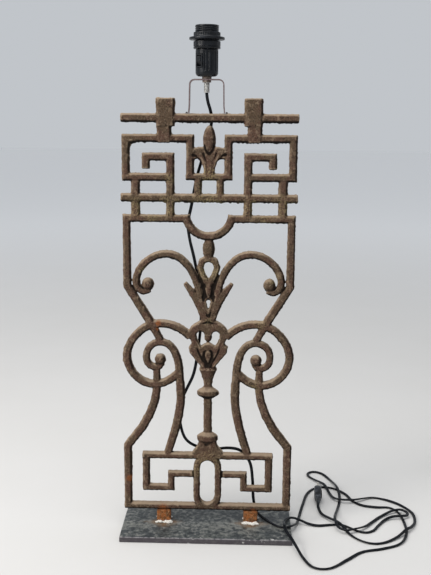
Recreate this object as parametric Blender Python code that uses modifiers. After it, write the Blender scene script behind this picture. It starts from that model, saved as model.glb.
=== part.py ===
"""Standing lamp made from a cast iron railing panel on a steel plate.

Metres, +Z up, +X to the right of the lamp, -Y towards the front.
The origin is the middle of the base plate's underside.
"""

import math

import bmesh
import bpy
from mathutils import Matrix, Vector

# Gap between pieces that touch
GAP = 0.0003

# Base plate
PLATE_WIDTH = 0.300
PLATE_DEPTH = 0.138
PLATE_THICKNESS = 0.010

# Casting: outlines below are drawn in millimetres and scaled to the casting's size
DRAWN_MM = 0.00103
RAIL_THICKNESS = 0.0140
UPRIGHT_THICKNESS = 0.0132
SCROLL_THICKNESS = 0.0136
POST_THICKNESS = 0.0180
BAR_CHAMFER = 0.0034
TOP_BAR_TOP = 709.8 * DRAWN_MM
RAIL_BOTTOM = 32.4 * DRAWN_MM

# Lugs between the casting and the plate
LUG_X = 0.0778
LUG_WIDTH = 0.0250
LUG_DEPTH = 0.0165

# Bracket and lampholder share one axis, a little left of the casting's middle
LAMP_X = -0.005
STRIP_WIDTH = 0.014
STRIP_THICKNESS = 0.002
BRACKET_HALF = 0.028
BRACKET_TOP = 0.7868
BRACKET_BEND = 0.008
NIPPLE_RADIUS = 0.0048
NIPPLE_BORE = 0.0037
NIPPLE_BOTTOM = 0.7650
NIPPLE_TOP = 0.8000

# Lampholder
CAP_BOTTOM = 0.7906
CAP_TOP = 0.8340
CAP_RADIUS = 0.0186
CAP_WALL = 0.0022
SHELL_BOTTOM = CAP_TOP + GAP
SHOULDER_TOP = 0.8462
SHELL_TOP = 0.8718
SHOULDER_RADIUS = 0.0222
THREAD_RADIUS = 0.0195
SHELL_BORE = 0.0172
RING_RADIUS = 0.0289
RING_COLLAR_RADIUS = 0.0219
RING_BOTTOM = 0.8485
FLANGE_THICKNESS = 0.0042
RING_TOP = 0.8605

# Switch on the cap, seen at the front left
SWITCH_TURN = math.radians(-39)
SWITCH_Z = 0.8150
SWITCH_WIDTH = 0.0120
SWITCH_HEIGHT = 0.0215

# Flat twin lead, drawn as a round tube of the same section
CORD_RADIUS = 0.0022
CORD_STEP = 0.023

# Plug lying on its edge on the floor
PLUG_AT = Vector((0.2065, 0.0790, 0.0))
PLUG_TURN = math.radians(-4)
PLUG_HALF_WIDTH = 0.0130
PLUG_HALF_THICKNESS = 0.0069

CASTING = (0.125, 0.095, 0.070, 1.0)
ORANGE_RUST = (0.35, 0.14, 0.045, 1.0)
WHITE_CRUST = (0.78, 0.76, 0.72, 1.0)
PLATE_STEEL = (0.085, 0.105, 0.120, 1.0)
BARE_STEEL = (0.42, 0.40, 0.38, 1.0)
ZINC = (0.70, 0.70, 0.68, 1.0)
BLACK = (0.012, 0.012, 0.013, 1.0)
BRASS = (0.62, 0.45, 0.17, 1.0)
NICKEL = (0.66, 0.63, 0.56, 1.0)

# Route of the lead in millimetres: from inside the nipple, down behind the casting to the plate
ROUTE_DOWN = [
    (-5, 0, 779), (-5, 0, 764), (-3, 3.5, 750), (1, 8.5, 736), (3, 10.8, 720), (-2, 10.8, 690),
    (-14, 10.8, 652), (-22, 10.8, 622), (-30, 10.8, 580), (-36, 10.8, 548), (-33, 10.8, 520),
    (-25, 10.8, 486), (-16, 10.8, 436), (-13, 10.8, 385), (-17, 10.8, 335), (-25, 10.8, 285),
    (-39, 10.8, 252), (-50, 10.8, 224), (-49, 10.8, 190), (-40, 11.2, 162), (-20, 13.5, 147),
    (10, 14.5, 142), (38, 13.0, 145), (60, 11.2, 140), (76, 10.8, 118), (81, 10.8, 85),
    (83, 12.5, 50), (89, 15.5, 25), (98, 13, 15),
]

# Then over the plate and down to the floor, round to the front and back over the plate's corner
ROUTE_PLATE = [
    (98, 13, 15), (109, 2, 12.6), (124, -17, 12.6), (138, -24, 12.6), (149.5, -19, 13.2),
    (156.5, -6, 9.5),
    (163, 14, 3.8), (170, 50, 2.6), (179, 95, 2.6), (189, 138, 2.6), (204, 166, 2.6), (226, 176, 2.6),
    (248, 168, 2.6), (265, 145, 2.6), (277, 112, 2.6), (294, 94, 2.6), (318, 88, 2.6),
    (341, 88, 2.6), (355, 68, 2.6), (359, 27, 2.6), (355, -18, 2.6), (338, -55, 2.6),
    (305, -75, 2.6), (268, -88, 2.6), (240, -116, 2.6), (207, -146, 2.6), (180, -144, 3.0),
    (165, -116, 5), (155, -88, 11), (147, -65, 15), (141, -46, 15.5), (138, -24, 17.9), (139, -6, 15),
    (146, 9, 14.2), (156, 15, 13), (168, 15, 9), (184, 9, 4.4),
]

# Then the small loops to the right and on to the plug
ROUTE_FLOOR = [
    (184, 9, 4.4), (202, 6, 2.6), (224, 11, 2.6), (243, 12, 2.6), (257, 1, 2.6), (270, -11, 2.6),
    (284, -16, 2.6), (298, -8, 2.6), (310, 12, 2.6), (324, 32, 3.4), (340, 41.5, 6.0), (357, 42.5, 7.7),
    (366.5, 46.5, 6.9), (370.5, 56, 6.4), (366.5, 65.5, 6.9), (357, 69.5, 7.7), (340, 64.5, 6.0),
    (318, 46, 3.0), (298, 20, 3.4), (281, -1, 5.6), (264, -14.5, 8.2), (249, -20.5, 8.3), (236, -13, 9.6),
    (231.5, 6, 12.8), (232.5, 24, 12.4), (236, 46, 7.0), (242, 72, 3.6), (250, 108, 2.6), (253, 140, 5.0),
    (251, 168, 7.7), (244, 205, 3.4), (231, 238, 2.6), (220, 250, 2.6), (208.5, 252, 2.6), (200, 244, 2.6),
    (199.5, 230, 2.7), (208.5, 213, 3.4), (221, 192, 6.0), (228, 172, 7.7),
    (235, 139, 4.6), (241.5, 120, 5.6), (254, 108.5, 7.8), (277, 109, 7.7),
    (300, 124, 4.0), (320, 131, 2.6), (342, 121, 2.6), (366, 98, 2.6), (381, 66, 2.6),
    (379, 30, 2.8), (368, 4, 5.0), (356, -12, 7.7), (336, -34, 4.4), (312, -52, 2.6),
    (290, -57, 2.6), (270, -47, 2.6), (255, -26, 2.6), (246, -4, 5.4), (237, 12, 7.7),
    (224, 30, 6.4), (211, 50, 5.0), (206, 66, 9.5), (206.2, 76, 13),
]


def mm(value):
    """Drawn millimetres of the casting to metres."""
    return value * DRAWN_MM


def clear_scene():
    for obj in list(bpy.data.objects):
        bpy.data.objects.remove(obj, do_unlink=True)


def new_collection(name):
    made = bpy.data.collections.new(name)
    bpy.context.scene.collection.children.link(made)
    return made


def material(name, colour, roughness, metallic):
    made = bpy.data.materials.new(name)
    made.use_nodes = True
    shader = made.node_tree.nodes["Principled BSDF"]
    shader.inputs["Base Color"].default_value = colour
    shader.inputs["Roughness"].default_value = roughness
    shader.inputs["Metallic"].default_value = metallic
    made.diffuse_color = colour
    return made


def evaluated_mesh(obj):
    """The object's finished mesh, with doubled points welded."""
    bpy.context.view_layer.update()
    graph = bpy.context.evaluated_depsgraph_get()
    mesh = bpy.data.meshes.new_from_object(obj.evaluated_get(graph))
    mesh.transform(obj.matrix_world)
    shape = bmesh.new()
    shape.from_mesh(mesh)
    bmesh.ops.remove_doubles(shape, verts=shape.verts, dist=1e-6)
    shape.to_mesh(mesh)
    shape.free()
    return mesh


def keep(name, mesh, look, origin=Vector((0, 0, 0))):
    """Adds a mesh given in world space as a part, with its origin at the given point."""
    mesh.transform(Matrix.Translation(-origin))
    mesh.name = name
    mesh.materials.clear()
    mesh.materials.append(look)
    obj = bpy.data.objects.new(name, mesh)
    obj.location = origin
    PARTS.objects.link(obj)


def helper(name, data):
    obj = bpy.data.objects.new(name, data)
    CUTTERS.objects.link(obj)
    obj.hide_render = True
    obj.display_type = "WIRE"
    return obj


def solid_mesh(build, place=Matrix.Identity(4)):
    """A mesh made by a function that works on a bmesh, then placed."""
    shape = bmesh.new()
    build(shape)
    bmesh.ops.transform(shape, matrix=place, verts=shape.verts)
    mesh = bpy.data.meshes.new("solid")
    shape.to_mesh(mesh)
    shape.free()
    return mesh


def box_mesh(low, high, bevel=0.0):
    """A box between two corners, with rounded edges if bevel is given."""
    low, high = Vector(low), Vector(high)

    def build(shape):
        bmesh.ops.create_cube(shape, size=1.0)
        bmesh.ops.scale(shape, vec=high - low, verts=shape.verts)
        bmesh.ops.translate(shape, vec=(low + high) / 2, verts=shape.verts)
        if bevel:
            bmesh.ops.bevel(
                shape, geom=shape.edges[:], offset=bevel, segments=2, affect="EDGES", profile=0.5
            )

    return solid_mesh(build)


def cylinder_mesh(radius, low, high, sides=24, centre=(0, 0)):
    def build(shape):
        place = Matrix.Translation((centre[0], centre[1], (low + high) / 2))
        bmesh.ops.create_cone(
            shape, cap_ends=True, segments=sides, radius1=radius, radius2=radius, depth=high - low,
            matrix=place,
        )

    return solid_mesh(build)


def turned_mesh(profile, steps, axis_x=0.0, closed=True):
    """A profile of (radius, height) points, outer side top to bottom, turned about a vertical axis."""
    mesh = bpy.data.meshes.new("profile")
    points = [(radius, 0, height) for radius, height in profile]
    edges = [(i, i + 1) for i in range(len(points) - 1)]
    if closed:
        edges.append((len(points) - 1, 0))
    mesh.from_pydata(points, edges, [])
    obj = helper("profile", mesh)
    screw = obj.modifiers.new("Turn", "SCREW")
    screw.steps = steps
    screw.render_steps = steps
    screw.use_merge_vertices = True
    screw.merge_threshold = 0.00001
    screw.use_normal_calculate = True
    made = evaluated_mesh(obj)
    bpy.data.objects.remove(obj, do_unlink=True)
    made.transform(Matrix.Translation((axis_x, 0, 0)))
    return outward(made)


def outward(mesh):
    shape = bmesh.new()
    shape.from_mesh(mesh)
    bmesh.ops.recalc_face_normals(shape, faces=shape.faces)
    if shape.calc_volume(signed=True) < 0:
        bmesh.ops.reverse_faces(shape, faces=shape.faces)
    shape.to_mesh(mesh)
    shape.free()
    return mesh


def bar_mesh(path, widths, thickness, closed=False, chamfer=BAR_CHAMFER):
    """A cast bar along points in the casting's plane, with bevelled edges front and back."""
    widths = widths if isinstance(widths, list) else [widths] * len(path)
    widest = max(widths)
    half, deep = mm(widest) / 2, thickness / 2
    cut = min(chamfer, half * 0.55)
    outline = [
        (half, deep - cut), (half, cut - deep), (half - cut, -deep), (cut - half, -deep),
        (-half, cut - deep), (-half, deep - cut), (cut - half, deep), (half - cut, deep),
    ]
    section = bpy.data.curves.new("section", "CURVE")
    ring = section.splines.new("POLY")
    ring.points.add(len(outline) - 1)
    for point, (across, depth) in zip(ring.points, outline):
        point.co = (across, depth, 0, 1)
    ring.use_cyclic_u = True
    section_obj = helper("section", section)

    curve = bpy.data.curves.new("bar", "CURVE")
    curve.dimensions = "2D"
    curve.fill_mode = "NONE"
    curve.bevel_mode = "OBJECT"
    curve.bevel_object = section_obj
    curve.use_fill_caps = not closed
    line = curve.splines.new("POLY")
    line.points.add(len(path) - 1)
    for point, (x, z), width in zip(line.points, path, widths):
        point.co = (mm(x), mm(z), 0, 1)
        point.radius = width / widest
    line.use_cyclic_u = closed
    obj = helper("bar", curve)
    obj.matrix_world = Matrix.Rotation(math.radians(90), 4, "X")
    made = evaluated_mesh(obj)
    bpy.data.objects.remove(obj, do_unlink=True)
    bpy.data.objects.remove(section_obj, do_unlink=True)
    return outward(made)


def slab_mesh(outlines, thickness, bevel=0.002):
    """A flat cast shape: closed outlines in the casting's plane, the inner ones being holes."""
    curve = bpy.data.curves.new("slab", "CURVE")
    curve.dimensions = "2D"
    curve.fill_mode = "BOTH"
    curve.extrude = thickness / 2 - bevel
    curve.bevel_depth = bevel
    curve.bevel_resolution = 0
    curve.offset = -bevel
    for outline in outlines:
        line = curve.splines.new("POLY")
        line.points.add(len(outline) - 1)
        for point, (x, z) in zip(line.points, outline):
            point.co = (mm(x), mm(z), 0, 1)
        line.use_cyclic_u = True
    obj = helper("slab", curve)
    obj.matrix_world = Matrix.Rotation(math.radians(90), 4, "X")
    made = evaluated_mesh(obj)
    bpy.data.objects.remove(obj, do_unlink=True)
    return outward(made)


def boss_mesh(x, z, radius_x, radius_z, radius_y, rings=8, sides=12):
    """A rounded boss of the casting."""

    def build(shape):
        bmesh.ops.create_uvsphere(shape, u_segments=sides, v_segments=rings, radius=1.0)

    place = Matrix.Translation((mm(x), 0, mm(z))) @ Matrix.Diagonal((mm(radius_x), radius_y, mm(radius_z), 1))
    return solid_mesh(build, place)


def baluster_mesh(profile, flatten):
    """A turned part of the middle stem, flattened front to back."""
    made = turned_mesh([(mm(r), mm(z)) for r, z in profile], 16, closed=False)
    made.transform(Matrix.Diagonal((1, flatten, 1, 1)))
    return made


def smooth_path(points, steps):
    """Points along a smooth curve through hand-placed ones, in their plane."""
    made = []
    last = len(points) - 1
    for i in range(last):
        before, start = Vector(points[max(i - 1, 0)]), Vector(points[i])
        end, after = Vector(points[i + 1]), Vector(points[min(i + 2, last)])
        for step in range(steps):
            t = step / steps
            made.append(
                0.5 * ((2 * start) + (end - before) * t + (2 * before - 5 * start + 4 * end - after) * t * t
                + (3 * start - before - 3 * end + after) * t ** 3)
            )
    made.append(Vector(points[last]))
    return made


def scroll(points, widths, steps=2, thickness=SCROLL_THICKNESS):
    """A curved bar whose width changes evenly along its hand-placed points."""
    path = [tuple(p) for p in smooth_path(points, steps)]
    spread = [tuple(p) for p in smooth_path([(w, 0) for w in widths], steps)]
    return bar_mesh(path, [w for w, _ in spread], thickness)


def arc(cx, cz, radius, start, end, count):
    turn = [math.radians(start + (end - start) * i / (count - 1)) for i in range(count)]
    return [(cx + radius * math.cos(a), cz + radius * math.sin(a)) for a in turn]


def side_bars():
    """Every bar of the casting's right half, each as its own mesh."""
    box = [(31, 609), (31, 670.5), (135.6, 670.5), (135.6, 608.2), (63.3, 608.2)]
    hook = [(63.3, 541), (63.3, 641), (103.1, 641), (103.1, 621.5)]
    outer = [(34, 541), (135.4, 541), (135.4, 428), (100, 371), (80.5, 336)]
    leg = [(86.8, 284), (86.8, 250), (90.5, 228), (99, 205), (112, 181), (137.3, 148), (137.3, 38)]
    key = [(105.8, 131), (105.8, 72), (62.6, 72), (62.6, 96.8), (16, 96.8)]
    circle = [
        (30, 342), (40, 350.5), (52, 358), (66, 362.6), (81, 364), (97, 361), (113, 352), (127, 337),
        (135.5, 319), (137, 302), (131.5, 284), (119.5, 269), (105, 260.5), (90, 258), (75, 261),
        (62, 268), (50, 279),
    ]
    spiral = [
        (46.8, 240), (47.2, 265), (49, 289), (52.5, 306), (59, 320), (68.5, 329), (80, 331.8), (92.5, 328.5),
        (101.5, 319), (104.5, 306.5), (101.5, 295), (92.5, 288.5), (82, 290), (77, 297),
    ]
    arch = [
        (9, 392), (13, 410), (18, 430), (26, 450), (37, 466), (52, 478), (69.5, 482.2), (87, 479),
        (103, 469.5), (115, 455), (120.5, 438), (117.5, 424.5), (107.5, 418.5), (97.5, 422),
    ]
    return [
        bar_mesh(box, 13.0, RAIL_THICKNESS),
        bar_mesh(hook, [13.8, 13.4, 12.6, 13.4], UPRIGHT_THICKNESS),
        bar_mesh(outer, [12.4, 12.6, 13.6, 14.6, 12.0], RAIL_THICKNESS - 0.0003),
        bar_mesh([(120.2, 612), (120.2, 539)], 14.6, UPRIGHT_THICKNESS - 0.0006),
        bar_mesh([(18, 612), (18, 573)], 12.2, UPRIGHT_THICKNESS - 0.0006),
        scroll(arch, [11, 11.5, 12, 12.2, 12.4, 12.6, 12.6, 12.6, 12.6, 12.6, 12.2, 11.6, 11, 10]),
        scroll([(3, 369), (10.5, 389), (19, 406), (29, 420), (39.5, 434)], [16, 16, 14.5, 11.5, 6.5],
               thickness=SCROLL_THICKNESS - 0.0006),
        scroll(circle, [13.6] * 17, thickness=SCROLL_THICKNESS + 0.0002),
        scroll(spiral, [13.6, 13.6, 13.6, 13.2, 12.8, 12.4, 12, 12, 12, 12, 12, 12, 11, 9],
               thickness=SCROLL_THICKNESS - 0.0002),
        scroll([(46.4, 262), (46.6, 224), (55, 180), (69, 134)], [14.2, 14.6, 14.4, 13.2], steps=3,
               thickness=SCROLL_THICKNESS - 0.0009),
        bar_mesh(leg, [11.5, 13.6, 14.2, 14.6, 15, 14, 13.4], RAIL_THICKNESS - 0.0005),
        bar_mesh(key, [13, 12.4, 11.4, 11.4, 11], UPRIGHT_THICKNESS - 0.0003),
        boss_mesh(101, 431, 10.5, 11.5, 0.0092),
        boss_mesh(80.8, 301.8, 10, 10.3, 0.0090),
        bar_mesh([(73.2, 664), (73.2, 704)], 23.6, POST_THICKNESS - 0.002),
        bar_mesh([(70.8, 690), (70.8, 734)], 29.6, POST_THICKNESS),
    ]


def middle_bars():
    """The bars and ornaments on the casting's middle line."""
    dip = [(38.2, 547)] + arc(0, 550, 38.2, -8, -172, 15) + [(-38.2, 547)]
    loop = [(0, 432), (9.5, 446), (14.2, 460), (10.5, 471), (0, 475.5), (-10.5, 471), (-14.2, 460),
            (-9.5, 446)]
    slot = arc(0, 110, 18.5, 0, 180, 9) + arc(0, 57, 18.5, 180, 360, 9)
    fleur = [
        (8.5, 606), (9, 622), (12.5, 633), (18.5, 638.5), (27, 637), (27.5, 655), (12, 657.5), (-12, 657.5),
        (-27.5, 655), (-27, 637), (-18.5, 638.5), (-12.5, 633), (-9, 622), (-8.5, 606),
    ]
    shield = [
        (0, 372), (15, 369), (27, 361.5), (34.5, 350), (31, 339), (27.5, 331), (33, 324), (31, 314),
        (22, 303), (11, 289), (0, 284), (-11, 289), (-22, 303), (-31, 314), (-33, 324),
        (-27.5, 331), (-31, 339),
        (-34.5, 350), (-27, 361.5), (-15, 369),
    ]
    eye = [
        (0, 341), (5, 343.5), (8, 350), (14, 352.5), (20, 347.5), (19.5, 340), (15, 331), (11.5, 326),
        (6.5, 330), (0, 332), (-6.5, 330), (-11.5, 326), (-15, 331), (-19.5, 340), (-20, 347.5),
        (-14, 352.5), (-8, 350),
        (-5, 343.5),
    ]
    stem = [(8, 372), (12.5, 385), (11, 398), (2.8, 406), (0.6, 391), (-0.6, 391), (-2.8, 406), (-11, 398),
            (-12.5, 385), (-8, 372)]
    flare = [(13.5, 160), (17, 150), (26, 138), (26, 128), (-26, 128), (-26, 138), (-17, 150), (-13.5, 160)]
    lower = [
        (0, 291), (13, 291), (15.6, 286), (13, 280.5), (8.5, 268), (7, 256), (11, 252.5), (18.8, 247),
        (18.8, 241), (12, 236.5), (7.4, 234), (7.4, 174), (12, 172), (18, 167.5), (18, 160),
        (13, 155), (0, 155),
    ]
    return [
        bar_mesh([(-143.4, 702.8), (143.4, 702.8)], 14.2, RAIL_THICKNESS + 0.0004),
        bar_mesh([(-144.2, 574.8), (144.2, 574.8)], 13.6, RAIL_THICKNESS + 0.0004),
        bar_mesh([(-38, 609), (38, 609)], 11.2, RAIL_THICKNESS - 0.0008),
        bar_mesh(dip, 13.4, SCROLL_THICKNESS + 0.0007),
        bar_mesh([(-112.3, 130.8), (112.3, 130.8)], 11.4, RAIL_THICKNESS + 0.0004),
        bar_mesh([(-144, 38), (144, 38)], 11.2, RAIL_THICKNESS + 0.0006),
        bar_mesh(loop, 10.4, SCROLL_THICKNESS - 0.0012, closed=True, chamfer=0.0025),
        bar_mesh(slot, 11.0, SCROLL_THICKNESS + 0.0012, closed=True, chamfer=0.0025),
        slab_mesh([fleur], SCROLL_THICKNESS - 0.0016),
        slab_mesh([shield, eye], SCROLL_THICKNESS - 0.0010),
        slab_mesh([stem], SCROLL_THICKNESS - 0.0014),
        slab_mesh([flare], RAIL_THICKNESS - 0.0012),
        boss_mesh(0, 668, 10.6, 23.5, 0.0090, rings=10),
        boss_mesh(0, 491, 10.4, 17.5, 0.0088),
        boss_mesh(0, 350, 5.2, 13, 0.0060),
        boss_mesh(0, 312, 9.5, 21, 0.0090),
        boss_mesh(0, 421, 8.5, 13, 0.0084),
        baluster_mesh(lower, 0.56),
    ]


def mirrored(mesh):
    other = mesh.copy()
    other.transform(Matrix.Diagonal((-1, 1, 1, 1)))
    other.flip_normals()
    return other


def make_casting():
    """One casting: all its bars joined by a Boolean union."""
    right = side_bars()
    meshes = middle_bars() + right + [mirrored(mesh) for mesh in right]
    first = helper("casting_core", meshes[0])
    others = bpy.data.collections.new("casting_bars")
    bpy.context.scene.collection.children.link(others)
    for mesh in meshes[1:]:
        obj = bpy.data.objects.new("casting_bar", mesh)
        obj.hide_render = True
        others.objects.link(obj)
    union = first.modifiers.new("Join", "BOOLEAN")
    union.operation = "UNION"
    union.operand_type = "COLLECTION"
    union.collection = others
    union.solver = "EXACT"
    whole = evaluated_mesh(first)
    for obj in list(others.objects) + [first]:
        bpy.data.objects.remove(obj, do_unlink=True)
    bpy.data.collections.remove(others)
    tidy_mesh(whole)
    keep("grille_casting", whole, material("casting_iron", CASTING, 0.75, 0.35))


def tidy_mesh(mesh):
    """Merges the slivers that a union leaves."""
    shape = bmesh.new()
    shape.from_mesh(mesh)
    bmesh.ops.dissolve_limit(shape, angle_limit=math.radians(1), verts=shape.verts, edges=shape.edges)
    bmesh.ops.triangulate(shape, faces=shape.faces)
    bmesh.ops.remove_doubles(shape, verts=shape.verts, dist=4e-6)
    bmesh.ops.dissolve_degenerate(shape, edges=shape.edges, dist=1e-6)
    bmesh.ops.triangulate(shape, faces=shape.faces)
    shape.to_mesh(mesh)
    shape.free()


def make_base():
    """Steel plate with slightly rounded edges."""
    half = Vector((PLATE_WIDTH / 2, PLATE_DEPTH / 2, 0))
    plate = box_mesh(-half, half + Vector((0, 0, PLATE_THICKNESS)), 0.0012)
    keep("base_plate", plate, material("plate_steel", PLATE_STEEL, 0.5, 0.6))


def make_lugs():
    """Two rusty blocks that carry the casting, each with a crusty bead at its foot, front and back."""
    for side, name in ((-1, "left"), (1, "right")):
        x = side * LUG_X
        low = (x - LUG_WIDTH / 2, -LUG_DEPTH / 2, PLATE_THICKNESS + GAP)
        high = (x + LUG_WIDTH / 2, LUG_DEPTH / 2, RAIL_BOTTOM - GAP)
        lug = box_mesh(low, high, 0.0010)
        keep("lug_" + name, lug, material("lug_rust_" + name, ORANGE_RUST, 0.9, 0.1))
        for way, end in ((-1, "front"), (1, "back")):
            bead = foot_bead(x, way)
            look = material("crust_%s_%s" % (end, name), WHITE_CRUST, 0.95, 0.0)
            keep("weld_%s_%s" % (end, name), bead, look)


def foot_bead(x, way):
    """A quarter-round bead in the corner between a lug and the plate."""

    def build(shape):
        bmesh.ops.create_cone(
            shape, cap_ends=True, segments=12, radius1=0.0046, radius2=0.0046, depth=0.027,
            matrix=Matrix.Translation((x, way * (LUG_DEPTH / 2 + GAP), PLATE_THICKNESS + GAP))
            @ Matrix.Rotation(math.radians(90), 4, "Y"),
        )
        for normal, point in (
            (Vector((0, 0, -1)), Vector((0, 0, PLATE_THICKNESS + GAP))),
            (Vector((0, -way, 0)), Vector((0, way * (LUG_DEPTH / 2 + GAP), 0))),
        ):
            cut = bmesh.ops.bisect_plane(
                shape, geom=shape.verts[:] + shape.edges[:] + shape.faces[:],
                plane_co=point, plane_no=normal, clear_outer=True,
            )
            edges = [e for e in cut["geom_cut"] if isinstance(e, bmesh.types.BMEdge)]
            bmesh.ops.holes_fill(shape, edges=edges)

    return outward(solid_mesh(build))


def make_bracket():
    """Strip steel bent into a bridge, welded to the top bar at both feet."""
    foot = TOP_BAR_TOP + GAP + 0.0003
    centre = BRACKET_TOP - STRIP_THICKNESS / 2
    inner = BRACKET_HALF - BRACKET_BEND
    corner = [(inner + BRACKET_BEND * math.sin(a), centre - BRACKET_BEND * (1 - math.cos(a)))
              for a in [math.radians(d) for d in (0, 22.5, 45, 67.5, 90)]]
    half = corner + [(BRACKET_HALF + 0.0005, foot + 0.012), (BRACKET_HALF + 0.0016, foot)]
    path = [(-x, z) for x, z in reversed(half)] + half
    deep = STRIP_WIDTH / 2

    section = bpy.data.curves.new("strip_section", "CURVE")
    ring = section.splines.new("POLY")
    ring.points.add(3)
    thin = STRIP_THICKNESS / 2
    outline = ((thin, deep), (thin, -deep), (-thin, -deep), (-thin, deep))
    for point, (across, depth) in zip(ring.points, outline):
        point.co = (across, depth, 0, 1)
    ring.use_cyclic_u = True
    section_obj = helper("strip_section", section)
    curve = bpy.data.curves.new("strip", "CURVE")
    curve.dimensions = "2D"
    curve.fill_mode = "NONE"
    curve.bevel_mode = "OBJECT"
    curve.bevel_object = section_obj
    curve.use_fill_caps = True
    line = curve.splines.new("POLY")
    line.points.add(len(path) - 1)
    for point, (x, z) in zip(line.points, path):
        point.co = (x, z, 0, 1)
    obj = helper("strip", curve)
    obj.matrix_world = Matrix.Translation((LAMP_X, 0, 0)) @ Matrix.Rotation(math.radians(90), 4, "X")
    strip = helper("strip_mesh", outward(evaluated_mesh(obj)))
    hole = helper("strip_hole", cylinder_mesh(NIPPLE_RADIUS + GAP, 0.77, 0.80, 20, (LAMP_X, 0)))
    cut(strip, hole)
    keep("strip_bracket", evaluated_mesh(strip), material("bracket_steel", BARE_STEEL, 0.55, 0.8))
    for extra in (obj, section_obj, strip, hole):
        bpy.data.objects.remove(extra, do_unlink=True)
    for side, name in ((-1, "left"), (1, "right")):
        foot_x = LAMP_X + side * (BRACKET_HALF + 0.0016 + 0.0010 + GAP)
        bead = solid_mesh(
            lambda shape: bmesh.ops.create_cone(
                shape, cap_ends=True, segments=10, radius1=0.0022, radius2=0.0010, depth=0.0022
            ),
            Matrix.Translation((foot_x + side * 0.0022, 0, foot + 0.0011)) @ Matrix.Diagonal((1, 2.6, 1, 1)),
        )
        keep("bracket_weld_" + name, bead, material("bracket_weld_" + name, CASTING, 0.8, 0.5))


def cut(obj, cutter):
    bore = obj.modifiers.new("Cut", "BOOLEAN")
    bore.operation = "DIFFERENCE"
    bore.object = cutter
    bore.solver = "EXACT"


def hollow_tube(outer, inner, low, high, steps=24, axis_x=LAMP_X):
    return turned_mesh([(outer, high), (outer, low), (inner, low), (inner, high)], steps, axis_x)


def hex_nut(low, high, across_flats):
    outer = across_flats / math.sqrt(3)
    nut = helper("nut_mesh", cylinder_mesh(outer, low, high, 6, (LAMP_X, 0)))
    bore = helper("nut_bore", cylinder_mesh(NIPPLE_RADIUS + GAP, low - 0.01, high + 0.01, 20, (LAMP_X, 0)))
    cut(nut, bore)
    mesh = evaluated_mesh(nut)
    for extra in (nut, bore):
        bpy.data.objects.remove(extra, do_unlink=True)
    return mesh


def make_nipple():
    """Tube through the bracket and the cap, with its nuts and the spacing washer between them."""
    keep("nipple", hollow_tube(NIPPLE_RADIUS, NIPPLE_BORE, NIPPLE_BOTTOM, NIPPLE_TOP),
         material("nipple_zinc", ZINC, 0.35, 0.9))
    under = BRACKET_TOP - STRIP_THICKNESS - GAP
    keep("locknut_lower", hex_nut(under - 0.0032, under, 0.0140), material("locknut_zinc", ZINC, 0.4, 0.9))
    above = BRACKET_TOP + GAP
    keep("bracket_washer", hollow_tube(0.0078, NIPPLE_RADIUS + GAP, above, CAP_BOTTOM - GAP),
         material("washer_zinc", ZINC, 0.4, 0.9))
    inside = CAP_BOTTOM + CAP_WALL + GAP
    keep("locknut_upper", hex_nut(inside, inside + 0.0030, 0.0140),
         material("inner_nut_zinc", ZINC, 0.4, 0.9))


def switch_place():
    """Frame of the switch: its own -Y points outwards through the cap's wall."""
    return Matrix.Translation((LAMP_X, 0, SWITCH_Z)) @ Matrix.Rotation(SWITCH_TURN, 4, "Z")


def make_cap():
    """Cap with a rounded bottom, open at the top, with the window for the switch."""
    inner = CAP_RADIUS - CAP_WALL
    hole = NIPPLE_RADIUS + GAP
    profile = [
        (CAP_RADIUS - 0.0006, CAP_TOP), (CAP_RADIUS - 0.0006, CAP_TOP - 0.0018),
        (CAP_RADIUS, CAP_TOP - 0.0022), (CAP_RADIUS, CAP_BOTTOM + 0.0060),
        (CAP_RADIUS - 0.0010, CAP_BOTTOM + 0.0026),
        (CAP_RADIUS - 0.0032, CAP_BOTTOM + 0.0007), (CAP_RADIUS - 0.0062, CAP_BOTTOM), (hole, CAP_BOTTOM),
        (hole, CAP_BOTTOM + CAP_WALL), (inner - 0.0030, CAP_BOTTOM + CAP_WALL), (inner, CAP_BOTTOM + 0.0060),
        (inner, CAP_TOP),
    ]
    cap = helper("cap_mesh", turned_mesh(profile, 36, LAMP_X))
    wide, tall = SWITCH_WIDTH / 2 + GAP, SWITCH_HEIGHT / 2 + GAP
    window = helper("cap_window", box_mesh((-wide, -0.030, -tall), (wide, -0.010, tall)))
    window.matrix_world = switch_place()
    cut(cap, window)
    mesh = evaluated_mesh(cap)
    for extra in (cap, window):
        bpy.data.objects.remove(extra, do_unlink=True)
    keep("holder_cap", mesh, material("cap_black", BLACK, 0.42, 0.0))


def make_shell():
    """Outer shell: a shoulder below, the threaded skirt above, its thread drawn as separate rings."""
    pitch = 0.0032
    threads = int((SHELL_TOP - SHOULDER_TOP - 0.0012) / pitch)
    profile = [(SHELL_BORE, SHELL_TOP), (THREAD_RADIUS - 0.0008, SHELL_TOP)]
    for turn in range(threads):
        top = SHELL_TOP - 0.0008 - turn * pitch
        profile += [(THREAD_RADIUS, top - 0.25 * pitch), (THREAD_RADIUS, top - 0.5 * pitch),
                    (THREAD_RADIUS - 0.0008, top - 0.75 * pitch)]
    profile += [
        (THREAD_RADIUS - 0.0008, SHOULDER_TOP), (SHOULDER_RADIUS - 0.0006, SHOULDER_TOP),
        (SHOULDER_RADIUS, SHOULDER_TOP - 0.0008), (SHOULDER_RADIUS, SHELL_BOTTOM + 0.0016),
        (SHOULDER_RADIUS - 0.0012, SHELL_BOTTOM), (SHELL_BORE, SHELL_BOTTOM),
    ]
    keep("holder_shell", turned_mesh(profile, 28, LAMP_X), material("shell_black", BLACK, 0.40, 0.0))


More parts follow.
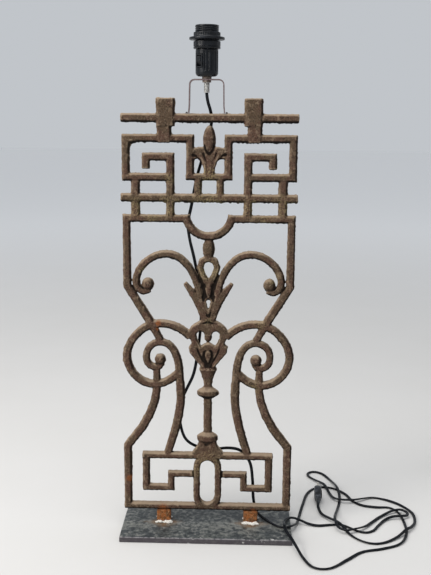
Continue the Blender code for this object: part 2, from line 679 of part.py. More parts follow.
def make_shade_ring():
    """Flanged ring on the skirt, which would hold a shade down on the shoulder."""
    bore = THREAD_RADIUS + GAP
    flange_top = RING_BOTTOM + FLANGE_THICKNESS
    profile = [
        (RING_COLLAR_RADIUS - 0.0006, RING_TOP), (RING_COLLAR_RADIUS, RING_TOP - 0.0008),
        (RING_COLLAR_RADIUS, flange_top + 0.0006), (RING_RADIUS - 0.0010, flange_top),
        (RING_RADIUS, flange_top - 0.0010), (RING_RADIUS, RING_BOTTOM + 0.0006),
        (RING_RADIUS - 0.0006, RING_BOTTOM), (bore, RING_BOTTOM), (bore, RING_TOP),
    ]
    axis = Vector((LAMP_X, 0, RING_BOTTOM))
    keep("shade_ring", turned_mesh(profile, 32, LAMP_X), material("ring_black", BLACK, 0.38, 0.0), axis)


def make_contacts():
    """Carrier with the screw shell, the sprung centre contact and the two terminal screws."""
    floor = SHELL_BOTTOM + 0.0060
    carrier = helper("carrier_mesh", cylinder_mesh(SHELL_BORE - GAP, floor - 0.0050, floor, 32, (LAMP_X, 0)))
    recess = helper("carrier_recess", box_mesh((LAMP_X - 0.0042, -0.0125, floor - 0.0016),
                                               (LAMP_X + 0.0042, 0.0075, floor + 0.001)))
    cut(carrier, recess)
    sides = [cylinder_mesh(0.0024, floor - 0.01, floor + 0.01, 12, (LAMP_X + side * 0.0100, 0))
             for side in (-1, 1)]
    holes = [helper("terminal_hole", mesh) for mesh in sides]
    for hole in holes:
        cut(carrier, hole)
    mesh = evaluated_mesh(carrier)
    for extra in [carrier, recess] + holes:
        bpy.data.objects.remove(extra, do_unlink=True)
    keep("contact_carrier", mesh, material("carrier_white", WHITE_CRUST, 0.5, 0.0))

    bottom = floor + GAP
    shell = [
        (0.0146, SHELL_TOP - 0.0045), (0.0139, SHELL_TOP - 0.0058), (0.0146, SHELL_TOP - 0.0074),
        (0.0139, SHELL_TOP - 0.0092), (0.0146, SHELL_TOP - 0.0110), (0.0139, SHELL_TOP - 0.0128),
        (0.0146, SHELL_TOP - 0.0146), (0.0139, bottom + 0.0030), (0.0139, bottom),
        (0.0135, bottom), (0.0135, bottom + 0.0030), (0.0142, SHELL_TOP - 0.0146),
        (0.0135, SHELL_TOP - 0.0128), (0.0142, SHELL_TOP - 0.0110), (0.0135, SHELL_TOP - 0.0092),
        (0.0142, SHELL_TOP - 0.0074), (0.0135, SHELL_TOP - 0.0058), (0.0142, SHELL_TOP - 0.0045),
    ]
    keep("screw_shell_contact", turned_mesh(shell, 20, LAMP_X), material("shell_nickel", NICKEL, 0.3, 1.0))

    root = Vector((LAMP_X, -0.0110, floor - 0.0016 + GAP))
    tongue = box_mesh((LAMP_X - 0.0030, -0.0118, root.z), (LAMP_X + 0.0030, 0.0040, root.z + 0.0005))
    shape = bmesh.new()
    shape.from_mesh(tongue)
    tip = [v for v in shape.verts if v.co.y > 0]
    bmesh.ops.translate(shape, vec=(0, 0, 0.0052), verts=tip)
    shape.to_mesh(tongue)
    shape.free()
    keep("centre_contact", tongue, material("contact_brass", BRASS, 0.35, 1.0), root)

    for side, name in ((-1, "left"), (1, "right")):
        at = (LAMP_X + side * 0.0100, 0)
        body = cylinder_mesh(0.0020, floor - 0.0078, floor - 0.0010, 12, at)
        keep("terminal_screw_" + name, body, material("terminal_brass_" + name, BRASS, 0.4, 1.0))


def make_switch():
    """Frame set in the cap's window, and the rocker on its axis inside it."""
    place = switch_place()
    wide, tall = SWITCH_WIDTH / 2, SWITCH_HEIGHT / 2
    face = -(CAP_RADIUS + 0.0012)
    frame = helper("frame_mesh", box_mesh((-wide, face, -tall), (wide, -0.0110, tall), 0.0004))
    pocket = helper("frame_pocket", box_mesh((-wide + 0.0016, face - 0.01, -tall + 0.0018),
                                             (wide - 0.0016, -0.0126, tall - 0.0018)))
    cut(frame, pocket)
    mesh = evaluated_mesh(frame)
    mesh.transform(place)
    for extra in (frame, pocket):
        bpy.data.objects.remove(extra, do_unlink=True)
    keep("switch_frame", mesh, material("frame_black", BLACK, 0.45, 0.0))

    axis = place @ Vector((0, face + 0.0040, 0))
    half, reach = wide - 0.0020, tall - 0.0034
    profile = [
        (-0.0006, reach), (-0.0012, 0.0), (0.0034, -reach), (0.0042, -reach + 0.0002),
        (0.0046, 0.0), (0.0042, reach - 0.0002),
    ]

    def build(shape):
        low = [shape.verts.new((-half, face + depth, height)) for depth, height in profile]
        high = [shape.verts.new((half, face + depth, height)) for depth, height in profile]
        bottom = shape.faces.new(low)
        top = shape.faces.new(high)
        bmesh.ops.bridge_loops(shape, edges=list(bottom.edges) + list(top.edges))
        bmesh.ops.recalc_face_normals(shape, faces=shape.faces)

    rocker = outward(solid_mesh(build, place))
    keep("switch_rocker", rocker, material("rocker_black", BLACK, 0.35, 0.0), axis)


def resampled(points, step):
    """The same line with its points evenly spaced."""
    lengths = [0.0]
    for a, b in zip(points, points[1:]):
        lengths.append(lengths[-1] + (b - a).length)
    count = max(2, round(lengths[-1] / step))
    made, at = [], 0
    for i in range(count + 1):
        want = lengths[-1] * i / count
        while at < len(points) - 2 and lengths[at + 1] < want:
            at += 1
        span = lengths[at + 1] - lengths[at]
        made.append(points[at].lerp(points[at + 1], (want - lengths[at]) / span))
    return made


def cord_lines():
    """The lead's smooth line, cut into three stretches whose ends face each other a small gap apart."""
    whole = ROUTE_DOWN + ROUTE_PLATE[1:] + ROUTE_FLOOR[1:]
    steps = 12
    line = smooth_path([Vector(p) / 1000 for p in whole], steps)
    first = (len(ROUTE_DOWN) - 1) * steps
    second = first + (len(ROUTE_PLATE) - 1) * steps
    cuts = [0, first, second, len(line) - 1]
    stretches = []
    for start, end in zip(cuts, cuts[1:]):
        points = resampled(line[start : end + 1], CORD_STEP)
        if start > 0:
            along = (line[start + 1] - line[start - 1]).normalized()
            points[:1] = [line[start] + along * GAP / 2, line[start] + along * CORD_RADIUS]
        if end < cuts[-1]:
            along = (line[end + 1] - line[end - 1]).normalized()
            points[-1:] = [line[end] - along * CORD_RADIUS, line[end] - along * GAP / 2]
        stretches.append(points)
    return stretches


def make_cord():
    for name, points in zip(("cord_on_casting", "cord_over_plate", "cord_on_floor"), cord_lines()):
        curve = bpy.data.curves.new(name, "CURVE")
        curve.dimensions = "3D"
        curve.bevel_depth = CORD_RADIUS
        curve.bevel_resolution = 2
        curve.use_fill_caps = True
        line = curve.splines.new("POLY")
        line.points.add(len(points) - 1)
        for point, place in zip(line.points, points):
            point.co = (*place, 1)
        obj = helper(name, curve)
        mesh = outward(evaluated_mesh(obj))
        bpy.data.objects.remove(obj, do_unlink=True)
        keep(name, mesh, material(name + "_black", BLACK, 0.5, 0.0))


def loft_mesh(sections, place):
    """Rectangular sections (y, half width x, low z, high z) with cut corners, joined in a row."""

    def build(shape):
        rings = []
        for y, half, low, high in sections:
            c = min(half, (high - low) / 2) * 0.35
            loop = [(-half + c, low), (half - c, low), (half, low + c), (half, high - c), (half - c, high),
                    (-half + c, high), (-half, high - c), (-half, low + c)]
            rings.append([shape.verts.new((x, y, z)) for x, z in loop])
        for a, b in zip(rings, rings[1:]):
            for i in range(8):
                shape.faces.new((a[i], a[(i + 1) % 8], b[(i + 1) % 8], b[i]))
        shape.faces.new(rings[0])
        shape.faces.new(rings[-1])
        bmesh.ops.recalc_face_normals(shape, faces=shape.faces)

    return outward(solid_mesh(build, place))


def make_plug():
    """Flat two-pin plug on its edge, with the strain relief that the lead goes into."""
    place = Matrix.Translation(PLUG_AT) @ Matrix.Rotation(PLUG_TURN, 4, "Z")
    middle = PLUG_HALF_WIDTH + GAP
    relief = [
        (0.0, 0.0032, middle - 0.0034, middle + 0.0034),
        (0.016, 0.0040, middle - 0.0046, middle + 0.0046),
    ]
    keep("plug_relief", loft_mesh(relief, place), material("relief_black", BLACK, 0.55, 0.0))
    start = 0.016 + GAP
    body = [
        (start, 0.0052, middle - 0.0062, middle + 0.0062),
        (start + 0.010, PLUG_HALF_THICKNESS - 0.0006, middle - 0.0090, middle + 0.0090),
        (start + 0.022, PLUG_HALF_THICKNESS, middle - 0.0118, middle + 0.0118),
        (start + 0.034, PLUG_HALF_THICKNESS, middle - PLUG_HALF_WIDTH, middle + PLUG_HALF_WIDTH),
    ]
    keep("plug_body", loft_mesh(body, place), material("plug_black", BLACK, 0.5, 0.0))
    for side, name in ((-1, "lower"), (1, "upper")):
        y = start + 0.034 + GAP
        pin = solid_mesh(
            lambda shape: bmesh.ops.create_cone(
                shape, cap_ends=True, segments=12, radius1=0.0020, radius2=0.0020, depth=0.019
            ),
            place @ Matrix.Translation((0, y + 0.0095, middle + side * 0.0093))
            @ Matrix.Rotation(math.radians(90), 4, "X"),
        )
        keep("plug_pin_" + name, outward(pin), material("pin_brass_" + name, NICKEL, 0.3, 1.0))


def shade_smooth_round_parts():
    for obj in PARTS.objects:
        obj.data.shade_smooth()
        obj.data.set_sharp_from_angle(angle=math.radians(35))


clear_scene()
PARTS = new_collection("casting_lamp")
CUTTERS = new_collection("cutters")
make_casting()
make_base()
make_lugs()
make_bracket()
make_nipple()
make_cap()
make_shell()
make_shade_ring()
make_contacts()
make_switch()
make_cord()
make_plug()
shade_smooth_round_parts()
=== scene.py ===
"""Looks of a standing lamp made from a cast iron railing panel on a steel plate.

Metres, +Z up, -Y towards the front, in the same frame as the solid model.
"""

import math

import bmesh
import bpy
import numpy as np
from mathutils import Matrix, Vector, noise


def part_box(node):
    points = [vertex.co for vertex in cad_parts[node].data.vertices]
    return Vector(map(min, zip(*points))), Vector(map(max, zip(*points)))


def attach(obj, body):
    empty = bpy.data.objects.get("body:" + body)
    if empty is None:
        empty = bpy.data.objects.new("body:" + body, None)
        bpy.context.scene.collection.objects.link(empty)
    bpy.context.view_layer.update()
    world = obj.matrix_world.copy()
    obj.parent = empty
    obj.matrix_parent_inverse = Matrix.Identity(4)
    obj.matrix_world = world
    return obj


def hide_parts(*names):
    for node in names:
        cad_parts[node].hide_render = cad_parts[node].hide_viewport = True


# The crust's vector noise starts from a fixed seed, so that every run gives the same heaps
noise.seed_set(5)

# Camera
CAMERA_PLACE = Vector((0.0553, -1.4626, 0.7210))
CAMERA_LENS = 54.47
CAMERA_DOWN = math.radians(10.9)
CAMERA_LEFT = math.radians(1.7)
CAMERA_ROLL = math.radians(0.45)

# Flat twin lead: two round cores side by side
CORE_RADIUS = 0.0015
CORE_OFFSET = 0.0012
CORE_POINTS = 9
CORD_STEP = 0.003
CORD_GAP = 0.0001
ROUTE_CLEARANCE = 0.0026
ROUTE_STEPS = 12

# The lead's wide side faces back on its way down the casting, then turns upwards over a short stretch
DOWN_SHARE = 0.255
TURNING_LENGTH = 0.060

# Slow twists of the lead, as (angle, rate along it, start)
TWISTS = ((0.32, 31.0, 0.0), (0.22, 73.0, 1.0))

# Casting: size of its skin's faces, and the heights between its three pieces
CAST_VOXEL = 0.0013
CAST_SPLITS = (0.0, 0.270, 0.530, 0.800)
CAST_PIECES = ("panel_lower", "panel_middle", "panel_upper")
GROOVE_DEPTH = 0.0019
BAR_UNDERSIDES = (0.7165, 0.6845, 0.5850, 0.5565)

# Unevenness of the casting: lumps per metre and height
KNOB_SCALE = 95.0
KNOB_HEIGHT = 0.00035
LUMP_SCALE = 240.0
LUMP_HEIGHT = 0.00040
PIT_SCALE = 480.0
PIT_HEIGHT = 0.00022
PIT_DEPTH = 0.0007
SIDE_LUMP_HEIGHT = 0.0011
DRIP_HEIGHT = 0.0015

# Drop-shaped hole above the heart: height of its middle, half width, and reach above and below
DROP_HEIGHT = 0.4140
DROP_HALF_WIDTH = 0.0042
DROP_ABOVE = 0.0036
DROP_BELOW = 0.0125

# Lugs and the crust at their feet
LUG_VOXEL = 0.0008
CRUST_VOXEL = 0.00045
CRUST_GRAINS = 26

# Nipple and lampholder
NIPPLE_WALL = 0.0011
NIPPLE_PITCH = 0.0010
NIPPLE_THREAD = 0.0005
HOLDER_BORE = 0.0172
SKIRT_RADIUS = 0.0195
SKIRT_FOOT = 0.8462
SKIRT_PITCH = 0.0032
SKIRT_THREAD = 0.0011
SHELL_FLUTES = 12
SHELL_FLUTE_DEPTH = 0.0004
RING_BORE = 0.0198
COLLAR_RADIUS = 0.0219
FLANGE_THICKNESS = 0.0042
RING_RIBS = 36
RING_RIB_DEPTH = 0.0006
CAP_WALL = 0.0022
CAP_HOLE = 0.0051
CAP_ROUNDING = 0.0060
CAP_FLUTES = 18
CAP_FLUTE_DEPTH = 0.0014
SWITCH_HEIGHT = 0.8150
SWITCH_TURN = math.radians(-39)
SWITCH_SPARE = 0.42
WINDOW_SIZE = (0.0126, 0.0200, 0.0221)
NIPPLE_STEPS = 40
TURNING_STEPS = 144
CAP_STEPS = 180

# Plug
PLUG_TURN = math.radians(-4)
GRIP_BARS = 4
GRIP_SPACING = 0.0045
GRIP_OFFSET = 0.0066

# Colours, linear
# Dark of the casting's pits, also its painted shade
IRON_DARK = (0.007, 0.0045, 0.003)
IRON_BROWN = (0.098, 0.064, 0.040)
IRON_PURPLE = (0.105, 0.058, 0.040)
# Tan of the casting's mottling, also its painted light on left faces and edges
IRON_TAN = (0.310, 0.225, 0.150)
# Painted highlight on the casting's upward-facing faces
IRON_TOP_HIGHLIGHT = (0.350, 0.262, 0.182)
IRON_PALE = (0.480, 0.400, 0.300)
LICHEN = (0.400, 0.330, 0.150)
RUST = (0.360, 0.110, 0.028)
RUST_DARK = (0.110, 0.045, 0.020)
CRUST = (0.800, 0.780, 0.730)
PLATE_BLUE = (0.046, 0.053, 0.057)
PLATE_GREEN = (0.095, 0.103, 0.096)
PLATE_DARK = (0.020, 0.024, 0.027)
PLATE_WORN = (0.260, 0.260, 0.240)
# Painted sheen on the plate
PLATE_SHEEN = (0.210, 0.210, 0.190)
PLATE_EDGE = (0.075, 0.062, 0.070)
PLATE_EDGE_DARK = (0.055, 0.045, 0.055)
PLATE_CORNER = (0.300, 0.280, 0.290)
SCUFF = (0.700, 0.690, 0.660)
SPECK = (0.550, 0.540, 0.500)
STAIN_DARK = (0.150, 0.075, 0.032)
STAIN_PALE = (0.300, 0.200, 0.110)
FAINT_RUST = (0.160, 0.075, 0.045)
BLACK = (0.0045, 0.0055, 0.0075)

# Route of the lead: from inside the nipple, down behind the casting to the plate
ROUTE_DOWN = [
    (-0.005, 0, 0.779), (-0.005, 0, 0.764), (-0.003, 0.0035, 0.75), (0.001, 0.0085, 0.736),
    (0.003, 0.0108, 0.72), (-0.002, 0.0108, 0.69), (-0.014, 0.0108, 0.652), (-0.022, 0.0108, 0.622),
    (-0.03, 0.0108, 0.58), (-0.036, 0.0108, 0.548), (-0.033, 0.0108, 0.52), (-0.025, 0.0108, 0.486),
    (-0.016, 0.0108, 0.436), (-0.013, 0.0108, 0.385), (-0.017, 0.0108, 0.335), (-0.025, 0.0108, 0.285),
    (-0.039, 0.0108, 0.252), (-0.05, 0.0108, 0.224), (-0.049, 0.0108, 0.19), (-0.04, 0.0112, 0.162),
    (-0.02, 0.0135, 0.147), (0.01, 0.0145, 0.142), (0.038, 0.013, 0.145), (0.06, 0.0112, 0.14),
    (0.076, 0.0108, 0.118), (0.081, 0.0108, 0.085), (0.083, 0.0125, 0.05), (0.089, 0.0155, 0.025),
    (0.098, 0.013, 0.015),
]

# Over the plate and down to the floor, round to the front and back over the plate's corner
ROUTE_PLATE = [
    (0.098, 0.013, 0.015), (0.109, 0.002, 0.0126), (0.124, -0.017, 0.0126), (0.138, -0.024, 0.0126),
    (0.1495, -0.019, 0.0132), (0.1565, -0.006, 0.0095), (0.163, 0.014, 0.0038), (0.17, 0.05, 0.0026),
    (0.179, 0.095, 0.0026), (0.189, 0.138, 0.0026), (0.204, 0.166, 0.0026), (0.226, 0.176, 0.0026),
    (0.248, 0.168, 0.0026), (0.265, 0.145, 0.0026), (0.277, 0.112, 0.0026), (0.294, 0.094, 0.0026),
    (0.318, 0.088, 0.0026), (0.341, 0.088, 0.0026), (0.355, 0.068, 0.0026), (0.359, 0.027, 0.0026),
    (0.355, -0.018, 0.0026), (0.338, -0.055, 0.0026), (0.305, -0.075, 0.0026), (0.268, -0.088, 0.0026),
    (0.24, -0.116, 0.0026), (0.207, -0.146, 0.0026), (0.18, -0.144, 0.003), (0.165, -0.116, 0.005),
    (0.155, -0.088, 0.011), (0.147, -0.065, 0.015), (0.141, -0.046, 0.0155), (0.138, -0.024, 0.0179),
    (0.139, -0.006, 0.015), (0.146, 0.009, 0.0142), (0.156, 0.015, 0.013), (0.168, 0.015, 0.009),
    (0.184, 0.009, 0.0044),
]

# The small loops to the right and on to the plug
ROUTE_FLOOR = [
    (0.184, 0.009, 0.0044), (0.202, 0.006, 0.0026), (0.224, 0.011, 0.0026), (0.243, 0.012, 0.0026),
    (0.257, 0.001, 0.0026), (0.27, -0.011, 0.0026), (0.284, -0.016, 0.0026), (0.298, -0.008, 0.0026),
    (0.31, 0.012, 0.0026), (0.324, 0.032, 0.0034), (0.34, 0.0415, 0.006), (0.357, 0.0425, 0.0077),
    (0.3665, 0.0465, 0.0069), (0.3705, 0.056, 0.0064), (0.3665, 0.0655, 0.0069),
    (0.357, 0.0695, 0.0077), (0.34, 0.0645, 0.006), (0.318, 0.046, 0.003), (0.298, 0.02, 0.0034),
    (0.281, -0.001, 0.0056), (0.264, -0.0145, 0.0082), (0.249, -0.0205, 0.0083),
    (0.236, -0.013, 0.0096), (0.2315, 0.006, 0.0128), (0.2325, 0.024, 0.0124), (0.236, 0.046, 0.007),
    (0.242, 0.072, 0.0036), (0.25, 0.108, 0.0026), (0.253, 0.14, 0.005), (0.251, 0.168, 0.0077),
    (0.244, 0.205, 0.0034), (0.231, 0.238, 0.0026), (0.22, 0.25, 0.0026), (0.2085, 0.252, 0.0026),
    (0.2, 0.244, 0.0026), (0.1995, 0.23, 0.0027), (0.2085, 0.213, 0.0034), (0.221, 0.192, 0.006),
    (0.228, 0.172, 0.0077), (0.235, 0.139, 0.0046), (0.2415, 0.12, 0.0056), (0.254, 0.1085, 0.0078),
    (0.277, 0.109, 0.0077), (0.3, 0.124, 0.004), (0.32, 0.131, 0.0026), (0.342, 0.121, 0.0026),
    (0.366, 0.098, 0.0026), (0.381, 0.066, 0.0026), (0.379, 0.03, 0.0028), (0.368, 0.004, 0.005),
    (0.356, -0.012, 0.0077), (0.336, -0.034, 0.0044), (0.312, -0.052, 0.0026), (0.29, -0.057, 0.0026),
    (0.27, -0.047, 0.0026), (0.255, -0.026, 0.0026), (0.246, -0.004, 0.0054), (0.237, 0.012, 0.0077),
    (0.224, 0.03, 0.0064), (0.211, 0.05, 0.005), (0.206, 0.066, 0.0095), (0.2062, 0.076, 0.013),
]

# Patches of lichen and rust painted on the casting, as (x, z, reach)
LICHEN_SPOTS = [
    (-0.065, 0.580, 0.034), (-0.124, 0.576, 0.030), (0.065, 0.576, 0.032), (0.124, 0.578, 0.036),
    (-0.095, 0.562, 0.024), (0.095, 0.560, 0.026), (0.0, 0.592, 0.050), (-0.067, 0.626, 0.016),
    (0.0, 0.125, 0.036), (-0.016, 0.110, 0.020), (0.0, 0.382, 0.010), (0.0, 0.470, 0.030),
    (0.081, 0.262, 0.022), (-0.060, 0.350, 0.018), (0.0, 0.628, 0.030), (0.090, 0.378, 0.018),
    (0.124, 0.640, 0.020), (-0.110, 0.470, 0.016), (0.112, 0.455, 0.018),
]
RUST_SPOTS = [
    (-0.086, 0.3765, 0.009), (-0.080, 0.034, 0.018), (0.083, 0.034, 0.010), (-0.138, 0.092, 0.012),
    (0.054, 0.708, 0.008), (-0.088, 0.366, 0.006),
]

# Blobs that fill the casting's corners and swell its edges, as (x, z, reach, rise)
BLOBS = [
    (-0.1310, 0.6830, 0.0110, 0.0036), (-0.0900, 0.7540, 0.0160, 0.0010), (-0.0570, 0.7480, 0.0080, 0.0012),
    (-0.1500, 0.5460, 0.0040, 0.0022), (-0.1110, 0.0760, 0.0090, 0.0012), (-0.1450, 0.3300, 0.0060, 0.0012),
    (-0.1480, 0.3080, 0.0050, 0.0014), (0.1230, 0.3490, 0.0060, 0.0012),
]

# Iron that fills the casting's narrow gaps, as (x, z, reach across, reach up, reach in depth)
SWELLINGS = [
    (-0.0120, 0.4570, 0.0046, 0.0070, 0.0052), (0.0120, 0.4570, 0.0046, 0.0070, 0.0052),
    (-0.0100, 0.4460, 0.0048, 0.0080, 0.0054), (0.0100, 0.4460, 0.0048, 0.0080, 0.0054),
    (-0.0085, 0.4350, 0.0046, 0.0080, 0.0054), (0.0085, 0.4350, 0.0046, 0.0080, 0.0054),
    (-0.0080, 0.4140, 0.0042, 0.0060, 0.0052), (0.0080, 0.4140, 0.0042, 0.0060, 0.0052),
    (0.0, 0.4230, 0.0090, 0.0060, 0.0060), (0.0, 0.3520, 0.0068, 0.0090, 0.0055),
    (0.0, 0.3970, 0.0050, 0.0070, 0.0056), (-0.0270, 0.6700, 0.0070, 0.0060, 0.0078),
    (0.0270, 0.6700, 0.0070, 0.0060, 0.0078),
]

# Grooves between the ornament's leaves, as ((x, z) points, width)
GROOVES = [
    ([(-0.0110, 0.6670), (-0.0045, 0.6500), (-0.0035, 0.6340)], 0.0017),
    ([(0.0125, 0.6680), (0.0062, 0.6515), (0.0050, 0.6340)], 0.0017),
    ([(-0.0105, 0.6840), (-0.0060, 0.6725), (0.0, 0.6640), (0.0060, 0.6720), (0.0105, 0.6840)], 0.0016),
    ([(-0.0300, 0.6640), (-0.0220, 0.6615), (-0.0160, 0.6560)], 0.0017),
    ([(0.0300, 0.6650), (0.0215, 0.6630), (0.0160, 0.6560)], 0.0017),
    ([(-0.0210, 0.4830), (-0.0190, 0.4700), (-0.0125, 0.4530), (-0.0060, 0.4330)], 0.0016),
    ([(0.0210, 0.4830), (0.0190, 0.4700), (0.0125, 0.4530), (0.0060, 0.4330)], 0.0016),
    ([(-0.0060, 0.4330), (-0.0040, 0.4240), (0.0, 0.4200), (0.0050, 0.4240), (0.0060, 0.4330)], 0.0015),
    ([(-0.0105, 0.4240), (-0.0062, 0.4050), (-0.0020, 0.3880)], 0.0014),
    ([(0.0100, 0.4240), (0.0058, 0.4050), (0.0020, 0.3880)], 0.0014),
    ([(-0.0068, 0.3190), (-0.0060, 0.3270), (0.0, 0.3320), (0.0060, 0.3270), (0.0070, 0.3190)], 0.0016),
    ([(-0.0068, 0.3190), (0.0, 0.3010), (0.0070, 0.3190)], 0.0016),
    ([(-0.0215, 0.3400), (-0.0140, 0.3190), (-0.0030, 0.2970)], 0.0017),
    ([(0.0220, 0.3400), (0.0148, 0.3190), (0.0040, 0.2970)], 0.0017),
    ([(-0.0160, 0.2960), (0.0, 0.2990), (0.0160, 0.2960)], 0.0015),
    ([(-0.0230, 0.3830), (-0.0120, 0.3760), (0.0, 0.3800), (0.0120, 0.3760), (0.0230, 0.3830)], 0.0015),
    ([(-0.0255, 0.1330), (-0.0250, 0.1150), (-0.0255, 0.0560)], 0.0013),
    ([(0.0255, 0.1330), (0.0250, 0.1150), (0.0255, 0.0560)], 0.0013),
]


class Value:
    """An output of a material's node, which takes arithmetic."""

    def __init__(self, look, socket):
        self.look = look
        self.socket = socket

    def maths(self, operation, first, second):
        sockets = {0: first, 1: second}
        return self.look.node("ShaderNodeMath", {"operation": operation}, sockets)

    def __add__(self, other):
        return self.maths("ADD", self, other)

    def __sub__(self, other):
        return self.maths("SUBTRACT", self, other)

    def __rsub__(self, other):
        return self.maths("SUBTRACT", other, self)

    def __mul__(self, other):
        return self.maths("MULTIPLY", self, other)

    __radd__ = __add__
    __rmul__ = __mul__


class Look:
    """A material with its shader tree."""

    def __init__(self, name, roughness, metallic=0.0, shine=0.5):
        self.material = bpy.data.materials.new(name)
        self.material.use_nodes = True
        self.tree = self.material.node_tree
        self.shader = self.tree.nodes["Principled BSDF"]
        self.shader.inputs["Roughness"].default_value = roughness
        self.shader.inputs["Metallic"].default_value = metallic
        self.shader.inputs["Specular IOR Level"].default_value = shine
        self.place = self.node("ShaderNodeTexCoord", {}, {}, "Object")

    def node(self, kind, settings, sockets, output=0):
        """Adds a node: its settings first, then the values or links of its sockets."""
        made = self.tree.nodes.new(kind)
        for name, setting in settings.items():
            setattr(made, name, setting)
        for name, value in sockets.items():
            self.feed(made.inputs[name], value)
        return Value(self, made.outputs[output])

    def feed(self, socket, value):
        if isinstance(value, Value):
            self.tree.links.new(value.socket, socket)
        elif isinstance(value, tuple) and socket.type == "RGBA":
            socket.default_value = (*value, 1.0)
        else:
            socket.default_value = value

    def shade(self, name, value):
        self.feed(self.shader.inputs[name], value)

    def spots(self, scale, detail=4.0, roughness=0.6, shift=(0.0, 0.0, 0.0), stretch=(1.0, 1.0, 1.0)):
        """Cloudy noise from 0 to 1, with scale in lumps per metre."""
        shifted = {"Vector": self.place, "Location": shift, "Scale": stretch}
        moved = self.node("ShaderNodeMapping", {}, shifted)
        sockets = {"Vector": moved, "Scale": scale, "Detail": detail, "Roughness": roughness}
        return self.node("ShaderNodeTexNoise", {}, sockets)

    def ramp(self, value, low, high):
        """Rises smoothly from 0 at low to 1 at high."""
        sockets = {"Value": value, "From Min": low, "From Max": high}
        return self.node("ShaderNodeMapRange", {"interpolation_type": "SMOOTHSTEP"}, sockets)

    def mix(self, share, first, second):
        sockets = {0: share, 6: first, 7: second}
        return self.node("ShaderNodeMix", {"data_type": "RGBA"}, sockets, 2)

    def drawn(self, name):
        """A value painted on the piece's own points."""
        return self.node("ShaderNodeAttribute", {"attribute_name": name}, {}, "Fac")

    def axis(self, name):
        return self.node("ShaderNodeSeparateXYZ", {}, {0: self.place}, name)

    def bump(self, height, distance):
        sockets = {"Height": height, "Distance": distance, "Strength": 1.0}
        self.shade("Normal", self.node("ShaderNodeBump", {}, sockets, "Normal"))


def cast_iron():
    """Pitted brown iron, pale on top and dark in the hollows from painted highlight and painted shade, with
    rust and lichen where painted.
    """
    look = Look("cast_iron", 0.7, 0.0, 0.12)
    broad = look.spots(28, 3)
    middle = look.spots(120, 5, 0.65, (0.3, 0.1, 0.7))
    fine = look.spots(520, 4, 0.7, (0.7, 0.4, 0.2))
    grain = look.spots(1300, 2, 0.6, (0.1, 0.9, 0.5))
    top = look.drawn("top")
    hollow_shade = look.drawn("hollow_shade")
    edge = look.drawn("edge")
    colour = look.mix(look.ramp(broad, 0.42, 0.58), IRON_BROWN, IRON_PURPLE)
    colour = look.mix(look.ramp(middle, 0.53, 0.66) * 0.50, colour, IRON_TAN)
    colour = look.mix(look.ramp(fine, 0.48, 0.40) * 0.80, colour, IRON_DARK)
    # Painted light on left-facing faces, broken by mottling
    colour = look.mix(look.drawn("left") * look.ramp(middle, 0.40, 0.58) * 0.45, colour, IRON_TAN)
    # Painted highlight along convex edges
    colour = look.mix(look.ramp(edge * (0.4 + 1.2 * fine), 0.25, 0.90) * 0.60, colour, IRON_TAN)
    # Painted highlight: upward-facing faces lighter, broken by mottling
    colour = look.mix(look.ramp(top * (0.50 + 1.00 * middle), 0.25, 0.75) * 0.85, colour, IRON_TOP_HIGHLIGHT)
    # Pale specks, a few more on top faces and edges as painted highlight
    colour = look.mix(look.ramp(grain + 0.06 * top + 0.05 * edge, 0.60, 0.72) * 0.60, colour, IRON_PALE)
    # Painted shade on right-facing bevels
    colour = look.mix(look.drawn("right") * look.ramp(middle, 0.76, 0.50) * 0.95, colour, IRON_DARK)
    # Painted shade in the hollows and grooves
    colour = look.mix(look.ramp(hollow_shade + 0.3 * middle, 0.30, 0.80) * 0.94, colour, IRON_DARK)
    colour = look.mix(look.drawn("shade"), colour, IRON_DARK)
    specks = look.ramp(fine + 0.4 * grain + 0.1 * edge, 0.71, 0.82)
    lichen = look.ramp(look.drawn("lichen") + 0.6 * middle, 0.65, 1.35)
    colour = look.mix(lichen * specks * 0.60, colour, LICHEN)
    rust = look.ramp(look.drawn("rust") + 0.7 * middle + 0.5 * fine, 1.10, 1.60)
    colour = look.mix(rust * 0.85, colour, look.mix(look.ramp(fine, 0.35, 0.65), RUST_DARK, RUST))
    look.shade("Base Color", colour)
    look.shade("Roughness", 0.55 + 0.35 * fine)
    look.bump(0.6 * fine + 0.4 * grain, 0.0022)
    return look.material


def rusty_steel():
    """Orange rust with dark patches."""
    look = Look("lug_rust", 0.85, 0.0, 0.15)
    middle = look.spots(160, 5, 0.6)
    fine = look.spots(700, 4, 0.7, (0.5, 0.2, 0.9))
    height = look.axis("Z")
    colour = look.mix(look.ramp(middle, 0.38, 0.62), RUST_DARK, RUST)
    colour = look.mix(look.ramp(fine, 0.50, 0.60) * 0.75, colour, (0.46, 0.27, 0.13))
    colour = look.mix(look.ramp(fine, 0.42, 0.28) * 0.8, colour, IRON_DARK)
    colour = look.mix(look.ramp(height, 0.0270, 0.0335) * 0.35, colour, IRON_DARK)
    look.shade("Base Color", colour)
    look.shade("Roughness", 0.75 + 0.2 * fine)
    look.bump(fine, 0.0010)
    return look.material


def white_crust():
    """Chalky deposit with rusty gaps."""
    look = Look("crust", 0.9, 0.0, 0.2)
    fine = look.spots(800, 4, 0.7)
    colour = look.mix(look.ramp(fine, 0.46, 0.34), CRUST, (0.33, 0.20, 0.11))
    look.shade("Base Color", colour)
    look.shade("Roughness", 0.8 + 0.2 * fine)
    look.bump(fine, 0.0008)
    return look.material


